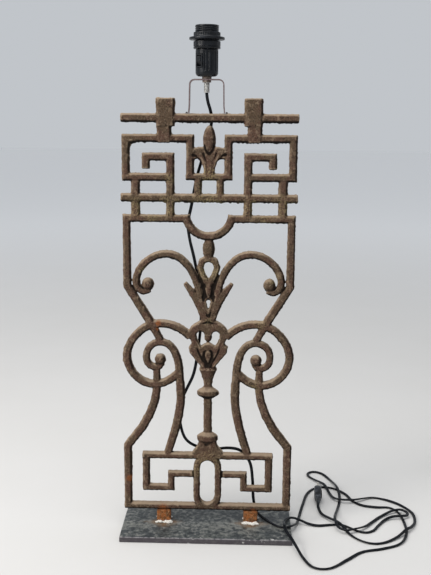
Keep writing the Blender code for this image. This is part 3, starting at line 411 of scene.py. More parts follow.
def plate_steel():
    """Dark blue-grey steel with a pale band of painted sheen, rusty rings round the lugs and a scuffed
    front edge.
    """
    look = Look("plate_steel", 0.5, 0.1, 0.4)
    across, along, height = look.axis("X"), look.axis("Y"), look.axis("Z")
    cloud = look.spots(34, 6, 0.68, stretch=(1.0, 1.5, 1.0))
    middle = look.spots(130, 5, 0.65, (0.4, 0.8, 0.1))
    fine = look.spots(900, 3, 0.6, (0.2, 0.3, 0.6))
    colour = look.mix(look.ramp(cloud, 0.35, 0.70), PLATE_BLUE, PLATE_GREEN)
    # Painted sheen: a pale band across the plate's middle depth
    sheen_band = look.ramp(along, -0.045, -0.025) * look.ramp(along, 0.008, -0.012)
    colour = look.mix(sheen_band * look.ramp(cloud + 0.3 * middle, 0.35, 0.80) * 0.45, colour, PLATE_SHEEN)
    colour = look.mix(look.ramp(middle, 0.51, 0.63) * 0.65, colour, PLATE_WORN)
    colour = look.mix(look.ramp(middle, 0.49, 0.40) * 0.90, colour, PLATE_DARK)
    colour = look.mix(look.ramp(fine, 0.46, 0.36) * 0.5, colour, PLATE_DARK)
    ring = foot_distance(look, across, along)
    stain = look.ramp(ring + 0.030 * middle, 0.042, 0.020)
    stained = look.mix(look.ramp(fine, 0.40, 0.62), STAIN_DARK, STAIN_PALE)
    colour = look.mix(stain * 0.80, colour, stained)
    face = look.ramp(along, -0.0680, -0.0690) * look.ramp(height, 0.0095, 0.0085)
    colour = look.mix(face * 0.8, colour, look.mix(middle, PLATE_EDGE, PLATE_EDGE_DARK))
    corner = look.ramp(along, -0.0672, -0.0682) * look.ramp(height, 0.0080, 0.0092)
    colour = look.mix(corner * look.ramp(middle, 0.30, 0.60) * 0.7, colour, PLATE_CORNER)
    scuff = look.ramp(look.spots(75, 3, 0.5, (0.9, 0.1, 0.4), (1.0, 1.0, 3.0)), 0.66, 0.72)
    near_edge = look.ramp(along, -0.060, -0.067)
    colour = look.mix(scuff * near_edge * look.ramp(fine, 0.35, 0.55), colour, SCUFF)
    colour = look.mix(look.ramp(fine, 0.66, 0.72) * 0.5, colour, SPECK)
    look.shade("Base Color", colour)
    look.shade("Roughness", 0.38 + 0.3 * middle)
    look.bump(0.7 * middle + 0.3 * fine, 0.0006)
    return look.material


def foot_distance(look, across, along):
    """Distance on the plate from the nearer lug's foot."""
    low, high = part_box("lug_right")
    reach = look.node("ShaderNodeMath", {"operation": "ABSOLUTE"}, {0: across})
    beside = look.node("ShaderNodeMath", {"operation": "ABSOLUTE"}, {0: reach - (low.x + high.x) / 2})
    ahead = look.node("ShaderNodeMath", {"operation": "ABSOLUTE"}, {0: along - low.y})
    return beside * 0.62 + ahead


def bare_steel(name, colour, roughness, rust):
    """Dull or plated steel with faint rust and fine scratches."""
    look = Look(name, roughness, 0.85)
    middle = look.spots(260, 4)
    fine = look.spots(1500, 3, 0.6, (0.3, 0.6, 0.1), (1.0, 1.0, 0.2))
    worn = look.mix(look.ramp(middle, 0.35, 0.70), colour, tuple(0.6 * part for part in colour))
    look.shade("Base Color", look.mix(look.ramp(middle, 0.50, 0.75) * rust, worn, FAINT_RUST))
    look.shade("Roughness", roughness - 0.1 + 0.3 * fine)
    look.bump(fine, 0.0002)
    return look.material


def moulded_black(name, roughness, dust=0.25, grey=(0.040, 0.050, 0.064), shine=0.25):
    """Black plastic with a faint moulded texture and a little dust."""
    look = Look(name, roughness, 0.0, shine)
    fine = look.spots(1400, 3)
    broad = look.spots(90, 4, 0.6, (0.2, 0.5, 0.3))
    colour = look.mix(look.ramp(broad + 0.3 * fine, 0.60, 1.00) * dust, BLACK, grey)
    look.shade("Base Color", colour)
    look.shade("Roughness", roughness - 0.06 + 0.16 * broad)
    look.bump(fine, 0.00012)
    return look.material


def white_porcelain():
    look = Look("porcelain", 0.3)
    fine = look.spots(500, 4)
    look.shade("Base Color", look.mix(look.ramp(fine, 0.4, 0.7), (0.80, 0.78, 0.73), (0.66, 0.63, 0.57)))
    look.shade("Roughness", 0.25 + 0.2 * fine)
    look.bump(fine, 0.0001)
    return look.material


def pale_floor():
    look = Look("floor", 0.9)
    cloud = look.spots(3, 4)
    away = look.node("ShaderNodeVectorMath", {"operation": "LENGTH"}, {0: look.place}, "Value")
    near = look.mix(cloud, (0.63, 0.62, 0.60), (0.67, 0.66, 0.65))
    look.shade("Base Color", look.mix(look.ramp(away, 1.0, 5.0), near, (0.97, 0.97, 0.97)))
    look.shade("Roughness", 0.85 + 0.1 * cloud)
    return look.material


def set_camera():
    data = bpy.data.cameras.new("camera")
    data.sensor_width = 36
    data.lens = CAMERA_LENS
    level = math.cos(CAMERA_DOWN)
    ahead = Vector((-math.sin(CAMERA_LEFT) * level, math.cos(CAMERA_LEFT) * level, -math.sin(CAMERA_DOWN)))
    side = Vector((math.cos(CAMERA_LEFT), math.sin(CAMERA_LEFT), 0))
    above = side.cross(ahead)
    turned_side = math.cos(CAMERA_ROLL) * side + math.sin(CAMERA_ROLL) * above
    turned_above = math.cos(CAMERA_ROLL) * above - math.sin(CAMERA_ROLL) * side
    place = Matrix((turned_side, turned_above, -ahead)).transposed().to_4x4()
    place.translation = CAMERA_PLACE
    camera = bpy.data.objects.new("camera", data)
    camera.matrix_world = place
    bpy.context.scene.collection.objects.link(camera)
    bpy.context.scene.camera = camera


def add_light(name, place, target, size, power, colour):
    data = bpy.data.lights.new(name, "AREA")
    data.size = size
    data.energy = power
    data.color = colour
    lamp = bpy.data.objects.new(name, data)
    lamp.location = place
    lamp.rotation_euler = (Vector(target) - Vector(place)).to_track_quat("-Z", "Y").to_euler()
    bpy.context.scene.collection.objects.link(lamp)


def set_studio():
    """Pale floor, soft light from above the front, weak light all round."""
    bpy.context.scene.view_settings.view_transform = "Standard"
    floor = bmesh.new()
    bmesh.ops.create_grid(floor, x_segments=1, y_segments=1, size=20.0)
    bmesh.ops.translate(floor, vec=(0, 0, -0.0002), verts=floor.verts)
    add_piece("floor", floor, pale_floor())
    world = bpy.data.worlds.new("studio")
    world.use_nodes = True
    backdrop = world.node_tree.nodes["Background"]
    backdrop.inputs["Color"].default_value = (0.86, 0.90, 0.95, 1.0)
    backdrop.inputs["Strength"].default_value = 0.62
    bpy.context.scene.world = world
    add_light("sky", (-0.4, -0.5, 2.6), (0.0, 0.0, 0.4), 2.2, 42, (1.0, 0.98, 0.95))
    add_light("left", (-2.2, -1.5, 1.7), (0.0, 0.0, 0.45), 0.9, 46, (1.0, 0.97, 0.93))


def add_piece(name, shape, look):
    """Makes an object from a bmesh, shaded smooth up to its sharp edges."""
    mesh = bpy.data.meshes.new(name)
    shape.to_mesh(mesh)
    shape.free()
    if look:
        mesh.materials.append(look)
    mesh.shade_smooth()
    mesh.set_sharp_from_angle(angle=math.radians(40))
    made = bpy.data.objects.new(name, mesh)
    bpy.context.scene.collection.objects.link(made)
    return made


def settle(piece, body, slot, *nodes):
    """The piece rides on its body and stands for the solid's nodes."""
    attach(piece, body)
    if nodes:
        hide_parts(*nodes)


def merged_copy(node):
    """A bmesh of a node's mesh with its loose triangles joined."""
    shape = bmesh.new()
    shape.from_mesh(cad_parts[node].data)
    bmesh.ops.remove_doubles(shape, verts=shape.verts, dist=1e-6)
    return shape


def smooth_route(points):
    """Points along a smooth curve through the route's own points."""
    points = [Vector(point) for point in points]
    last = len(points) - 1
    line = []
    for i in range(last):
        before, start = points[max(i - 1, 0)], points[i]
        end, after = points[i + 1], points[min(i + 2, last)]
        for step in range(ROUTE_STEPS):
            t = step / ROUTE_STEPS
            line.append(
                0.5 * ((2 * start) + (end - before) * t + (2 * before - 5 * start + 4 * end - after) * t * t
                + (3 * start - before - 3 * end + after) * t ** 3)
            )
    line.append(points[last])
    return line


def evenly(line, step):
    """The same line with its points one step apart, and how far along each one is."""
    line = np.array(line)
    far = np.concatenate([[0.0], np.cumsum(np.linalg.norm(np.diff(line, axis=0), axis=1))])
    at = np.linspace(0.0, far[-1], round(far[-1] / step) + 1)
    return np.array([np.interp(at, far, line[:, k]) for k in range(3)]).T, at


def cord_section():
    """Outline of the two cores, as (across, up) points."""
    turn = math.radians(130)
    half = [(CORE_OFFSET + CORE_RADIUS * math.cos(a), CORE_RADIUS * math.sin(a))
            for a in np.linspace(-turn, turn, CORE_POINTS)]
    return half + [(-across, -up) for across, up in half]


def make_cord():
    """The flat lead, which lies on its wide side and twists a little as it goes."""
    whole = ROUTE_DOWN + ROUTE_PLATE[1:] + ROUTE_FLOOR[1:]
    points, at = evenly(smooth_route(whole), CORD_STEP)
    down = at[-1] * DOWN_SHARE
    path = []
    rings = []
    shape = bmesh.new()
    section = cord_section()
    for i, point in enumerate(points):
        ahead = Vector(points[min(i + 1, len(points) - 1)] - points[max(i - 1, 0)]).normalized()
        share = min(max((at[i] - down) / TURNING_LENGTH, 0.0), 1.0)
        up = Vector((0, 1, 0)).lerp(Vector((0, 0, 1)), share)
        up = (up - ahead * up.dot(ahead)).normalized()
        lean = sum(angle * math.sin(at[i] * rate + start) for angle, rate, start in TWISTS)
        drop = ROUTE_CLEARANCE - CORD_GAP - CORE_RADIUS - CORE_OFFSET * abs(math.sin(lean))
        centre = Vector(point) - up * drop
        across = Matrix.Rotation(lean, 3, ahead) @ ahead.cross(up)
        lift = across.cross(ahead)
        path.append(tuple(centre))
        ring = [shape.verts.new(centre + across * a + lift * b) for a, b in section]
        rings.append([shape.edges.new((ring[k - 1], ring[k])) for k in range(len(ring))])
    for first, second in zip(rings, rings[1:]):
        bmesh.ops.bridge_loops(shape, edges=first + second)
    for ring in (rings[0], rings[-1]):
        bmesh.ops.contextual_create(shape, geom=ring)
    bmesh.ops.recalc_face_normals(shape, faces=shape.faces)
    cord = add_piece("twin_lead", shape, moulded_black("lead_black", 0.24, 0.05, shine=0.12))
    settle(cord, "stand", "cord_black", "cord_on_casting", "cord_over_plate", "cord_on_floor")
    return cord, path


def noise_at(points, scale, shift):
    """Smooth noise from about -1 to 1 at each point, with scale in lumps per metre."""
    return np.array([noise.noise(Vector(p) * scale + shift) for p in points])


def spread(values, first, second, count, times):
    """Values averaged with their neighbours along the mesh's edges."""
    for _ in range(times):
        total = values.copy()
        np.add.at(total, first, values[second])
        np.add.at(total, second, values[first])
        values = total / (count + 1)
    return values


def from_low_to_high(values, low, high):
    """Stretches values so that two of their percentiles become 0 and 1."""
    start, end = np.percentile(values, (low, high))
    return np.clip((values - start) / (end - start), 0.0, 1.0)


def patches(points, spots):
    """How near each point is to any of the (x, z, reach) spots, from 0 to 1."""
    near = np.zeros(len(points))
    for x, z, reach in spots:
        far = np.hypot(points[:, 0] - x, points[:, 2] - z)
        near = np.maximum(near, np.clip(1.2 - far / reach, 0.0, 1.0))
    return near


def paint(mesh, name, values):
    """Stores one value for each point, which a look reads by its name."""
    drawn = mesh.attributes.new(name, "FLOAT", "POINT")
    drawn.data.foreach_set("value", np.asarray(values, np.float32))


def remeshed(shape, voxel, cutter=None):
    """One even skin round a closed shape, less the cutter."""
    mesh = bpy.data.meshes.new("skin")
    shape.to_mesh(mesh)
    shape.free()
    carrier = bpy.data.objects.new("skin", mesh)
    bpy.context.scene.collection.objects.link(carrier)
    if cutter:
        hole = carrier.modifiers.new("Hole", "BOOLEAN")
        hole.operation = "DIFFERENCE"
        hole.solver = "EXACT"
        hole.use_self = True
        hole.object = cutter
    skin = carrier.modifiers.new("Skin", "REMESH")
    skin.mode = "VOXEL"
    skin.voxel_size = voxel
    bpy.context.view_layer.update()
    graph = bpy.context.evaluated_depsgraph_get()
    made = bmesh.new()
    made.from_object(carrier, graph)
    bpy.data.objects.remove(carrier, do_unlink=True)
    if cutter:
        bpy.data.objects.remove(cutter, do_unlink=True)
    return made


def drop_hole():
    """A cutter for the drop-shaped hole above the heart: round on top, pointed below."""
    shape = bmesh.new()
    turn = Matrix.Rotation(math.radians(90), 4, "X")
    bmesh.ops.create_cone(
        shape, cap_ends=True, segments=24, radius1=1.0, radius2=1.0, depth=0.05, matrix=turn
    )
    for vert in shape.verts:
        low = max(0.0, -vert.co.z)
        vert.co.x *= DROP_HALF_WIDTH * (1.0 - 0.55 * low)
        vert.co.z = DROP_HEIGHT + vert.co.z * (DROP_ABOVE if vert.co.z > 0 else DROP_BELOW)
    return add_piece("drop_hole", shape, None)


def grooves(points):
    """How deep each point lies in the grooves drawn over the ornament, from 0 to 1."""
    flat = points[:, (0, 2)]
    deepest = np.zeros(len(points))
    for line, width in GROOVES:
        for start, end in zip(line, line[1:]):
            start, along = np.array(start), np.array(end) - np.array(start)
            share = np.clip(((flat - start) @ along) / (along @ along), 0.0, 1.0)
            far = np.linalg.norm(flat - start - share[:, None] * along, axis=1)
            deepest = np.maximum(deepest, np.exp(-(far / width) ** 2))
    return deepest


def make_casting():
    """The panel in three pieces: rounded, knobbly and pitted, with its stains and its painted highlight and
    shade painted on its points.
    """
    shape = merged_copy("grille_casting")
    for x, z, reach_x, reach_z, depth in SWELLINGS:
        place = Matrix.Translation((x, 0, z)) @ Matrix.Diagonal((reach_x, depth, reach_z, 1))
        bmesh.ops.create_icosphere(shape, subdivisions=3, radius=1.0, matrix=place)
    shape = remeshed(shape, CAST_VOXEL, drop_hole())
    bmesh.ops.smooth_vert(
        shape, verts=shape.verts, factor=0.5, use_axis_x=True, use_axis_y=True, use_axis_z=True
    )
    mesh = bpy.data.meshes.new("panel")
    shape.to_mesh(mesh)
    shape.free()
    points = np.empty(len(mesh.vertices) * 3)
    mesh.vertices.foreach_get("co", points)
    points = points.reshape(-1, 3)
    normals = np.array([tuple(vert.normal) for vert in mesh.vertices])
    carved = grooves(points) * np.clip(np.abs(normals[:, 1]) * 1.6 - 0.3, 0.0, 1.0)
    rise = unevenness(points, normals) - GROOVE_DEPTH * carved
    points = points + normals * rise[:, None]
    mesh.vertices.foreach_set("co", points.ravel())
    paint_casting(mesh, points, normals, carved)
    look = cast_iron()
    for low, high, name in zip(CAST_SPLITS, CAST_SPLITS[1:], CAST_PIECES):
        piece = add_piece(name, sliced(mesh, low, high), look)
        piece.data.set_sharp_from_angle(angle=math.radians(180))
        settle(piece, "stand", "casting_iron", "grille_casting")
    bpy.data.meshes.remove(mesh)


def sliced(mesh, low, high):
    """The stretch of a mesh between two heights, closed where it is cut."""
    shape = bmesh.new()
    shape.from_mesh(mesh)
    for height, facing in ((low, -1), (high, 1)):
        cut = bmesh.ops.bisect_plane(
            shape, geom=shape.verts[:] + shape.edges[:] + shape.faces[:], dist=1e-7,
            plane_co=(0, 0, height), plane_no=(0, 0, facing), clear_outer=True,
        )
        rim = [edge for edge in cut["geom_cut"] if isinstance(edge, bmesh.types.BMEdge)]
        bmesh.ops.holes_fill(shape, edges=rim)
    return shape


def unevenness(points, normals):
    """How far knobs, lumps, pits and drips raise each point of the casting."""
    knobs = noise_at(points, KNOB_SCALE, Vector((3.1, 0.4, 7.7)))
    lumps = noise_at(points, LUMP_SCALE, Vector((1.7, 5.2, 0.3)))
    pits = noise_at(points, PIT_SCALE, Vector((8.8, 2.1, 4.6)))
    rise = KNOB_HEIGHT * knobs + LUMP_HEIGHT * np.maximum(lumps, -0.25) + PIT_HEIGHT * pits
    rise -= PIT_DEPTH * np.maximum(-pits - 0.20, 0.0)
    sideways = np.abs(normals[:, 1]) < 0.6
    rise += np.where(sideways, SIDE_LUMP_HEIGHT * np.maximum(lumps - 0.25, 0.0), 0.0)
    return rise + drips(points, normals, knobs, lumps)


def paint_casting(mesh, points, normals, carved):
    """Paints the casting with painted highlight and painted shade by the way it faces and by how it bends,
    and with patches of lichen and rust.
    """
    ends = np.empty(len(mesh.edges) * 2, int)
    mesh.edges.foreach_get("vertices", ends)
    first, second = ends[0::2], ends[1::2]
    count = np.bincount(ends, minlength=len(points)).astype(float)
    lap = np.zeros_like(points)
    np.add.at(lap, first, points[second])
    np.add.at(lap, second, points[first])
    bend = ((lap / count[:, None] - points) * normals).sum(axis=1) / CAST_VOXEL
    bend = spread(bend, first, second, count, 3)
    broad = spread(bend, first, second, count, 18)
    deepest = np.percentile(broad, 99.5)
    slanted = np.clip(np.abs(normals[:, 1]) * 2.2 - 0.4, 0.0, 1.0)
    # Painted highlight on upward-facing faces
    paint(mesh, "top", np.clip(spread(normals[:, 2], first, second, count, 2), 0.0, 1.0))
    paint(mesh, "shade", np.clip(-normals[:, 2] * 2.0 - 0.25, 0.0, 1.0))
    # Painted shade on right-facing bevels of the front and back faces
    paint(mesh, "right", np.clip(normals[:, 0] * 1.8 - 0.25, 0.0, 1.0) * slanted)
    # Painted light on left-facing faces
    paint(mesh, "left", np.clip(-normals[:, 0] * 1.6 - 0.30, 0.0, 1.0))
    # Painted shade in the hollows and in the carved grooves
    paint(mesh, "hollow_shade", np.clip((broad - 0.2 * deepest) / (0.6 * deepest) + 0.9 * carved, 0.0, 1.0))
    # Painted highlight along convex edges
    paint(mesh, "edge", from_low_to_high(-bend, 62, 98))
    paint(mesh, "lichen", patches(points, LICHEN_SPOTS))
    paint(mesh, "rust", patches(points, RUST_SPOTS))


def drips(points, normals, knobs, lumps):
    """Crust that hangs under the long bars, and blobs in the corners and on the edges."""
    x, z = points[:, 0], points[:, 2]
    under = np.clip(-normals[:, 2] * 1.6 - 0.4, 0.0, 1.0)
    bars = np.zeros(len(points))
    for height in BAR_UNDERSIDES:
        bars = np.maximum(bars, np.clip(1.0 - np.abs(z - height) / 0.0075, 0.0, 1.0))
    hanging = under * bars * np.maximum(lumps + 0.5 * knobs, 0.0) * DRIP_HEIGHT
    blobs = np.zeros(len(points))
    for bx, bz, reach, rise in BLOBS:
        far = np.hypot(x - bx, z - bz) / reach
        blobs += rise * np.exp(-far * far * 2.5)
    return hanging + blobs


def block(size, centre=(0, 0, 0)):
    """A plain box of that size."""
    shape = bmesh.new()
    bmesh.ops.create_cube(shape, size=1.0)
    bmesh.ops.scale(shape, vec=size, verts=shape.verts)
    bmesh.ops.translate(shape, vec=centre, verts=shape.verts)
    return shape


def round_edges(shape, edges, width, segments=2):
    bmesh.ops.bevel(
        shape, geom=edges, offset=width, segments=segments, profile=0.5, affect="EDGES",
        material=-1, clamp_overlap=True,
    )


def make_lug(side):
    """A rusty block, uneven on every face."""
    low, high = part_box("lug_" + side)
    shape = block(high - low, (low + high) / 2)
    round_edges(shape, shape.edges[:], 0.0018)
    shape = remeshed(shape, LUG_VOXEL)
    for vert in shape.verts:
        rise = 0.0007 * noise.noise(vert.co * 150) + 0.0005 * noise.noise(vert.co * 480)
        vert.co += vert.normal * (rise - 0.0001)
    settle(add_piece("lug_block_" + side, shape, LUG_LOOK), "stand", "lug_rust", "lug_" + side)


def make_crust(end, side):
    """A crumbly deposit heaped unevenly in the corner at a lug's foot."""
    low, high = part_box("weld_%s_%s" % (end, side))
    shape = bmesh.new()
    depth = high.y - low.y
    for i in range(CRUST_GRAINS):
        wobble = noise.noise_vector(Vector((i * 1.7, low.x * 90, low.y * 70)))
        share = (i + 0.5) / CRUST_GRAINS + 0.06 * wobble.z
        radius = 0.0010 + 0.0020 * min(1.0, abs(wobble.x) * 1.8)
        centre = Vector((
            low.x + share * (high.x - low.x),
            (low.y + high.y) / 2 + wobble.y * depth * 0.9,
            low.z + radius * 0.4 + 0.0030 * max(0.0, wobble.z + 0.1),
        ))
        grain = Matrix.Translation(centre) @ Matrix.Diagonal((1.3, 1.0, 0.8, 1.0))
        bmesh.ops.create_icosphere(shape, subdivisions=2, radius=radius, matrix=grain)
    shape = remeshed(shape, CRUST_VOXEL)
    for vert in shape.verts:
        vert.co += vert.normal * 0.0010 * noise.noise(vert.co * 700)
        vert.co.z = max(vert.co.z, low.z)
    piece = add_piece("foot_crust_%s_%s" % (end, side), shape, CRUST_LOOK)
    settle(piece, "stand", "crust", "weld_%s_%s" % (end, side))


def turned(profile, steps):
    """A closed profile of (radius, height) points turned about the lampholder's upright axis."""
    shape = bmesh.new()
    verts = [shape.verts.new((radius, 0, height)) for radius, height in profile]
    edges = [shape.edges.new((verts[i - 1], verts[i])) for i in range(len(verts))]
    bmesh.ops.spin(
        shape, geom=verts + edges, cent=(0, 0, 0), axis=(0, 0, 1), dvec=(0, 0, 0),
        angle=math.tau, steps=steps, use_merge=True, use_duplicate=False,
    )
    bmesh.ops.remove_doubles(shape, verts=shape.verts, dist=1e-7)
    bmesh.ops.recalc_face_normals(shape, faces=shape.faces)
    bmesh.ops.translate(shape, vec=(LAMP_X, 0, 0), verts=shape.verts)
    return shape


def heights(high, low, step):
    """Heights from high down to low, about a step apart."""
    return list(np.linspace(high, low, max(2, round((high - low) / step) + 1)))


def thread(shape, outer, depth, pitch, low, high):
    """Cuts a helical thread in the outer wall between two heights."""
    for vert in shape.verts:
        x, y = vert.co.x - LAMP_X, vert.co.y
        radius = math.hypot(x, y)
        if radius < outer - depth * 0.5 or not low <= vert.co.z <= high:
            continue
        wave = 0.5 - 0.5 * math.cos(math.tau * ((vert.co.z - low) / pitch - math.atan2(y, x) / math.tau))
        fade = min(1.0, (vert.co.z - low) / (0.6 * pitch), (high - vert.co.z) / (0.6 * pitch))
        scale = 1 - depth * (1 - wave ** 0.6) * max(fade, 0.0) / radius
        vert.co.x, vert.co.y = LAMP_X + x * scale, y * scale


def ribs(shape, inner, low, high, count, depth, spare=None):
    """Presses upright flutes into the wall outside a radius, apart from a spared (angle, half width)."""
    for vert in shape.verts:
        x, y = vert.co.x - LAMP_X, vert.co.y
        radius = math.hypot(x, y)
        if radius < inner or not low < vert.co.z < high:
            continue
        angle = math.atan2(y, x)
        fade = min(1.0, (vert.co.z - low) / 0.002, (high - vert.co.z) / 0.0012)
        if spare:
            away = abs((angle - spare[0] + math.pi) % math.tau - math.pi)
            fade *= min(1.0, max(0.0, (away - spare[1]) / 0.10))
        scale = 1 - depth * fade * (0.5 + 0.5 * math.cos(count * angle)) ** 4 / radius
        vert.co.x, vert.co.y = LAMP_X + x * scale, y * scale


def make_nipple():
    """Tube with a fine thread along its whole length."""
    low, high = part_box("nipple")
    outer = (high.x - low.x) / 2
    bore = outer - NIPPLE_WALL
    profile = [(bore, high.z)] + [(outer, z) for z in heights(high.z, low.z, 0.00022)] + [(bore, low.z)]
    shape = turned(profile, NIPPLE_STEPS)
    thread(shape, outer, NIPPLE_THREAD, NIPPLE_PITCH, low.z, high.z)
    settle(add_piece("threaded_nipple", shape, ZINC_LOOK), "stand", "zinc", "nipple")


def make_shell():
    """Shell with shallow flutes round its shoulder and a thread on its skirt."""
    low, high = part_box("holder_shell")
    shoulder = (high.x - low.x) / 2
    skirt, foot = SKIRT_RADIUS, SKIRT_FOOT
    profile = [(HOLDER_BORE, high.z), (skirt - 0.0012, high.z), (skirt - 0.0005, high.z - 0.0005)]
    profile += [(skirt, z) for z in heights(high.z - 0.0010, foot + 0.0004, 0.00036)]
    profile += [(skirt - 0.0008, foot), (shoulder - 0.0010, foot), (shoulder - 0.0003, foot - 0.0003)]
    profile += [(shoulder, z) for z in heights(foot - 0.0010, low.z + 0.0042, 0.0006)]
    profile += [(shoulder - 0.0007, low.z + 0.0036), (shoulder - 0.0006, low.z + 0.0030)]
    profile += [(shoulder, low.z + 0.0024), (shoulder, low.z + 0.0012), (shoulder - 0.0004, low.z + 0.0004)]
    profile += [(shoulder - 0.0012, low.z), (HOLDER_BORE, low.z)]
    shape = turned(profile, TURNING_STEPS)
    thread(shape, skirt, SKIRT_THREAD, SKIRT_PITCH, foot + 0.0004, high.z - 0.0006)
    ribs(shape, shoulder - 0.0004, low.z + 0.0036, foot - 0.0004, SHELL_FLUTES, SHELL_FLUTE_DEPTH)
    settle(add_piece("threaded_shell", shape, HOLDER_LOOK), "stand", "holder_black", "holder_shell")


def make_ring():
    """Shade ring: round-edged flange and a ribbed collar."""
    low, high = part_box("shade_ring")
    flange, collar = (high.x - low.x) / 2, COLLAR_RADIUS
    top = low.z + FLANGE_THICKNESS
    profile = [(RING_BORE, high.z), (collar - 0.0010, high.z), (collar - 0.0003, high.z - 0.0003)]
    profile += [(collar, z) for z in heights(high.z - 0.0010, top + 0.0022, 0.0006)]
    profile += [(collar + 0.0002, top + 0.0012), (collar + 0.0012, top + 0.0003), (collar + 0.0026, top)]
    profile += [(flange - 0.0010, top), (flange - 0.0003, top - 0.0003), (flange, top - 0.0010)]
    profile += [(flange, low.z + 0.0010), (flange - 0.0003, low.z + 0.0003), (flange - 0.0010, low.z)]
    profile += [(RING_BORE + 0.0006, low.z), (RING_BORE, low.z + 0.0006)]
    shape = turned(profile, TURNING_STEPS)
    ribs(shape, collar - 0.0004, top + 0.0015, high.z - 0.0006, RING_RIBS, RING_RIB_DEPTH)
    settle(add_piece("ribbed_shade_ring", shape, RING_LOOK), "shade_ring", "ring_black", "shade_ring")


def make_cap():
    """Cap with broad upright flutes, smooth round the switch and at its rounded bottom."""
    low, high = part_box("holder_cap")
    outer = (high.x - low.x) / 2
    inner, floor = outer - CAP_WALL, low.z + CAP_WALL
    profile = [(inner, high.z), (outer - 0.0008, high.z), (outer - 0.0005, high.z - 0.0004)]
    profile += [(outer - 0.0005, high.z - 0.0016), (outer, high.z - 0.0021)]
    profile += [(outer, z) for z in heights(high.z - 0.0026, low.z + 0.0066, 0.0010)]
    for angle in range(10, 100, 10):
        out, down = math.cos(math.radians(angle)), math.sin(math.radians(angle))
        profile.append((outer - CAP_ROUNDING * (1 - out), low.z + CAP_ROUNDING * (1 - down)))
    profile += [(CAP_HOLE, low.z), (CAP_HOLE, floor), (inner - 0.0040, floor)]
    profile += [(inner - 0.0011, floor + 0.0011), (inner, floor + 0.0040)]
    shape = turned(profile, CAP_STEPS)
    place = switch_place()
    outwards = place @ Vector((0, -1, 0)) - place.translation
    spare = (math.atan2(outwards.y, outwards.x), SWITCH_SPARE)
    ribs(shape, outer - 0.0003, low.z + 0.0075, high.z - 0.0030, CAP_FLUTES, CAP_FLUTE_DEPTH, spare)
    cap = add_piece("fluted_cap", shape, HOLDER_LOOK)
    window = block(WINDOW_SIZE, (0, -WINDOW_SIZE[1], 0))
    bmesh.ops.transform(window, matrix=place, verts=window.verts)
    cutter = add_piece("cap_window", window, HOLDER_LOOK)
    cut = cap.modifiers.new("Window", "BOOLEAN")
    cut.operation = "DIFFERENCE"
    cut.object = cutter
    cut.solver = "EXACT"
    bpy.context.view_layer.update()
    graph = bpy.context.evaluated_depsgraph_get()
    opened = bpy.data.meshes.new_from_object(cap.evaluated_get(graph))
    cap.modifiers.clear()
    cap.data = opened
    bpy.data.objects.remove(cutter, do_unlink=True)
    settle(cap, "stand", "holder_black", "holder_cap")


def switch_place():
    """Where the switch sits: its own -Y points outwards through the cap's wall."""
    return Matrix.Translation((LAMP_X, 0, SWITCH_HEIGHT)) @ Matrix.Rotation(SWITCH_TURN, 4, "Z")


def rounded_copy(node, name, look, width, segments):
    """One of the plug's solids with its edges rounded."""
    shape = merged_copy(node)
    bmesh.ops.dissolve_limit(shape, angle_limit=math.radians(2), verts=shape.verts, edges=shape.edges)
    sharp = [edge for edge in shape.edges if edge.calc_face_angle(0.0) > math.radians(20)]
    round_edges(shape, sharp, width, segments)
    bmesh.ops.recalc_face_normals(shape, faces=shape.faces)
    piece = add_piece(name, shape, look)
    settle(piece, "stand", "plug_black", node)
    return piece


def make_plug():
    """Rounded plug with grip bars on both flat sides, its strain relief and its two pins."""
    look = moulded_black("plug_black", 0.30, 0.9, (0.090, 0.100, 0.115))
    body = rounded_copy("plug_body", "plug_shell", look, 0.0020, 3)
    relief = rounded_copy("plug_relief", "plug_sleeve", look, 0.0008, 2)
    pieces = [body, relief]
    low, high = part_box("plug_body")
    middle = Matrix.Translation((low + high) / 2) @ Matrix.Rotation(PLUG_TURN, 4, "Z")
    for side, across in (("left", -GRIP_OFFSET), ("right", GRIP_OFFSET)):
        for step in range(GRIP_BARS):
            bar = block((0.0012, 0.0016, 0.0130 - 0.0012 * step))
            round_edges(bar, bar.edges[:], 0.0004)
            along = Matrix.Translation((across, 0.009 - GRIP_SPACING * step, 0))
            bmesh.ops.transform(bar, matrix=middle @ along, verts=bar.verts)
            grip = add_piece("plug_grip_%s_%d" % (side, step), bar, look)
            settle(grip, "stand", "plug_black")
            pieces.append(grip)
    return pieces + [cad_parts[pin] for pin in ("plug_pin_lower", "plug_pin_upper")]


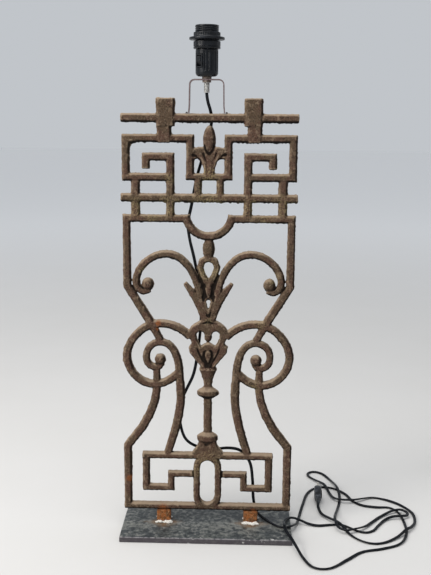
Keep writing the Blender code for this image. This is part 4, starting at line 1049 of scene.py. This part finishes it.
def dress(look, *nodes):
    """Gives solid nodes that keep their shape a finer look."""
    for node in nodes:
        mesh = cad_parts[node].data
        mesh.materials.clear()
        mesh.materials.append(look)


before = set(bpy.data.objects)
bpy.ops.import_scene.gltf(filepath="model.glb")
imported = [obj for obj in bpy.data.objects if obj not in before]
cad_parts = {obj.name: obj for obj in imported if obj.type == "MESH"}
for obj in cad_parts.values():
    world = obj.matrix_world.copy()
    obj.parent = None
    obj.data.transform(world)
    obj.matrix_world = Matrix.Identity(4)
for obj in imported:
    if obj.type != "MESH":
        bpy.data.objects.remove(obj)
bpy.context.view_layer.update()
LAMP_X = (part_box("nipple")[0].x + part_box("nipple")[1].x) / 2

set_camera()
set_studio()
CORD, CORD_PATH = make_cord()
LUG_LOOK = rusty_steel()
CRUST_LOOK = white_crust()
ZINC_LOOK = bare_steel("zinc", (0.62, 0.62, 0.60), 0.38, 0.15)
HOLDER_LOOK = moulded_black("holder_black", 0.27, 0.20)
RING_LOOK = moulded_black("ring_black", 0.32, 0.45)
make_casting()
for where in ("left", "right"):
    make_lug(where)
    make_crust("front", where)
    make_crust("back", where)
make_nipple()
make_shell()
make_ring()
make_cap()
PLUG = make_plug()
NICKEL_LOOK = bare_steel("nickel", (0.66, 0.62, 0.54), 0.30, 0.10)
BRASS_LOOK = bare_steel("brass", (0.62, 0.44, 0.16), 0.34, 0.10)
NUT_LOOK = bare_steel("nut_steel", (0.16, 0.13, 0.11), 0.50, 0.40)
dress(plate_steel(), "base_plate")
dress(bare_steel("bracket_steel", (0.26, 0.20, 0.20), 0.50, 0.45), "strip_bracket")
dress(bare_steel("weld_metal", (0.10, 0.08, 0.07), 0.70, 0.60), "bracket_weld_left", "bracket_weld_right")
dress(NUT_LOOK, "bracket_washer", "locknut_lower", "locknut_upper")
dress(NICKEL_LOOK, "screw_shell_contact", "plug_pin_lower", "plug_pin_upper")
dress(BRASS_LOOK, "centre_contact", "terminal_screw_left", "terminal_screw_right")
dress(white_porcelain(), "contact_carrier")
dress(moulded_black("switch_black", 0.40), "switch_frame")
dress(moulded_black("rocker_black", 0.26, 0.10), "switch_rocker")
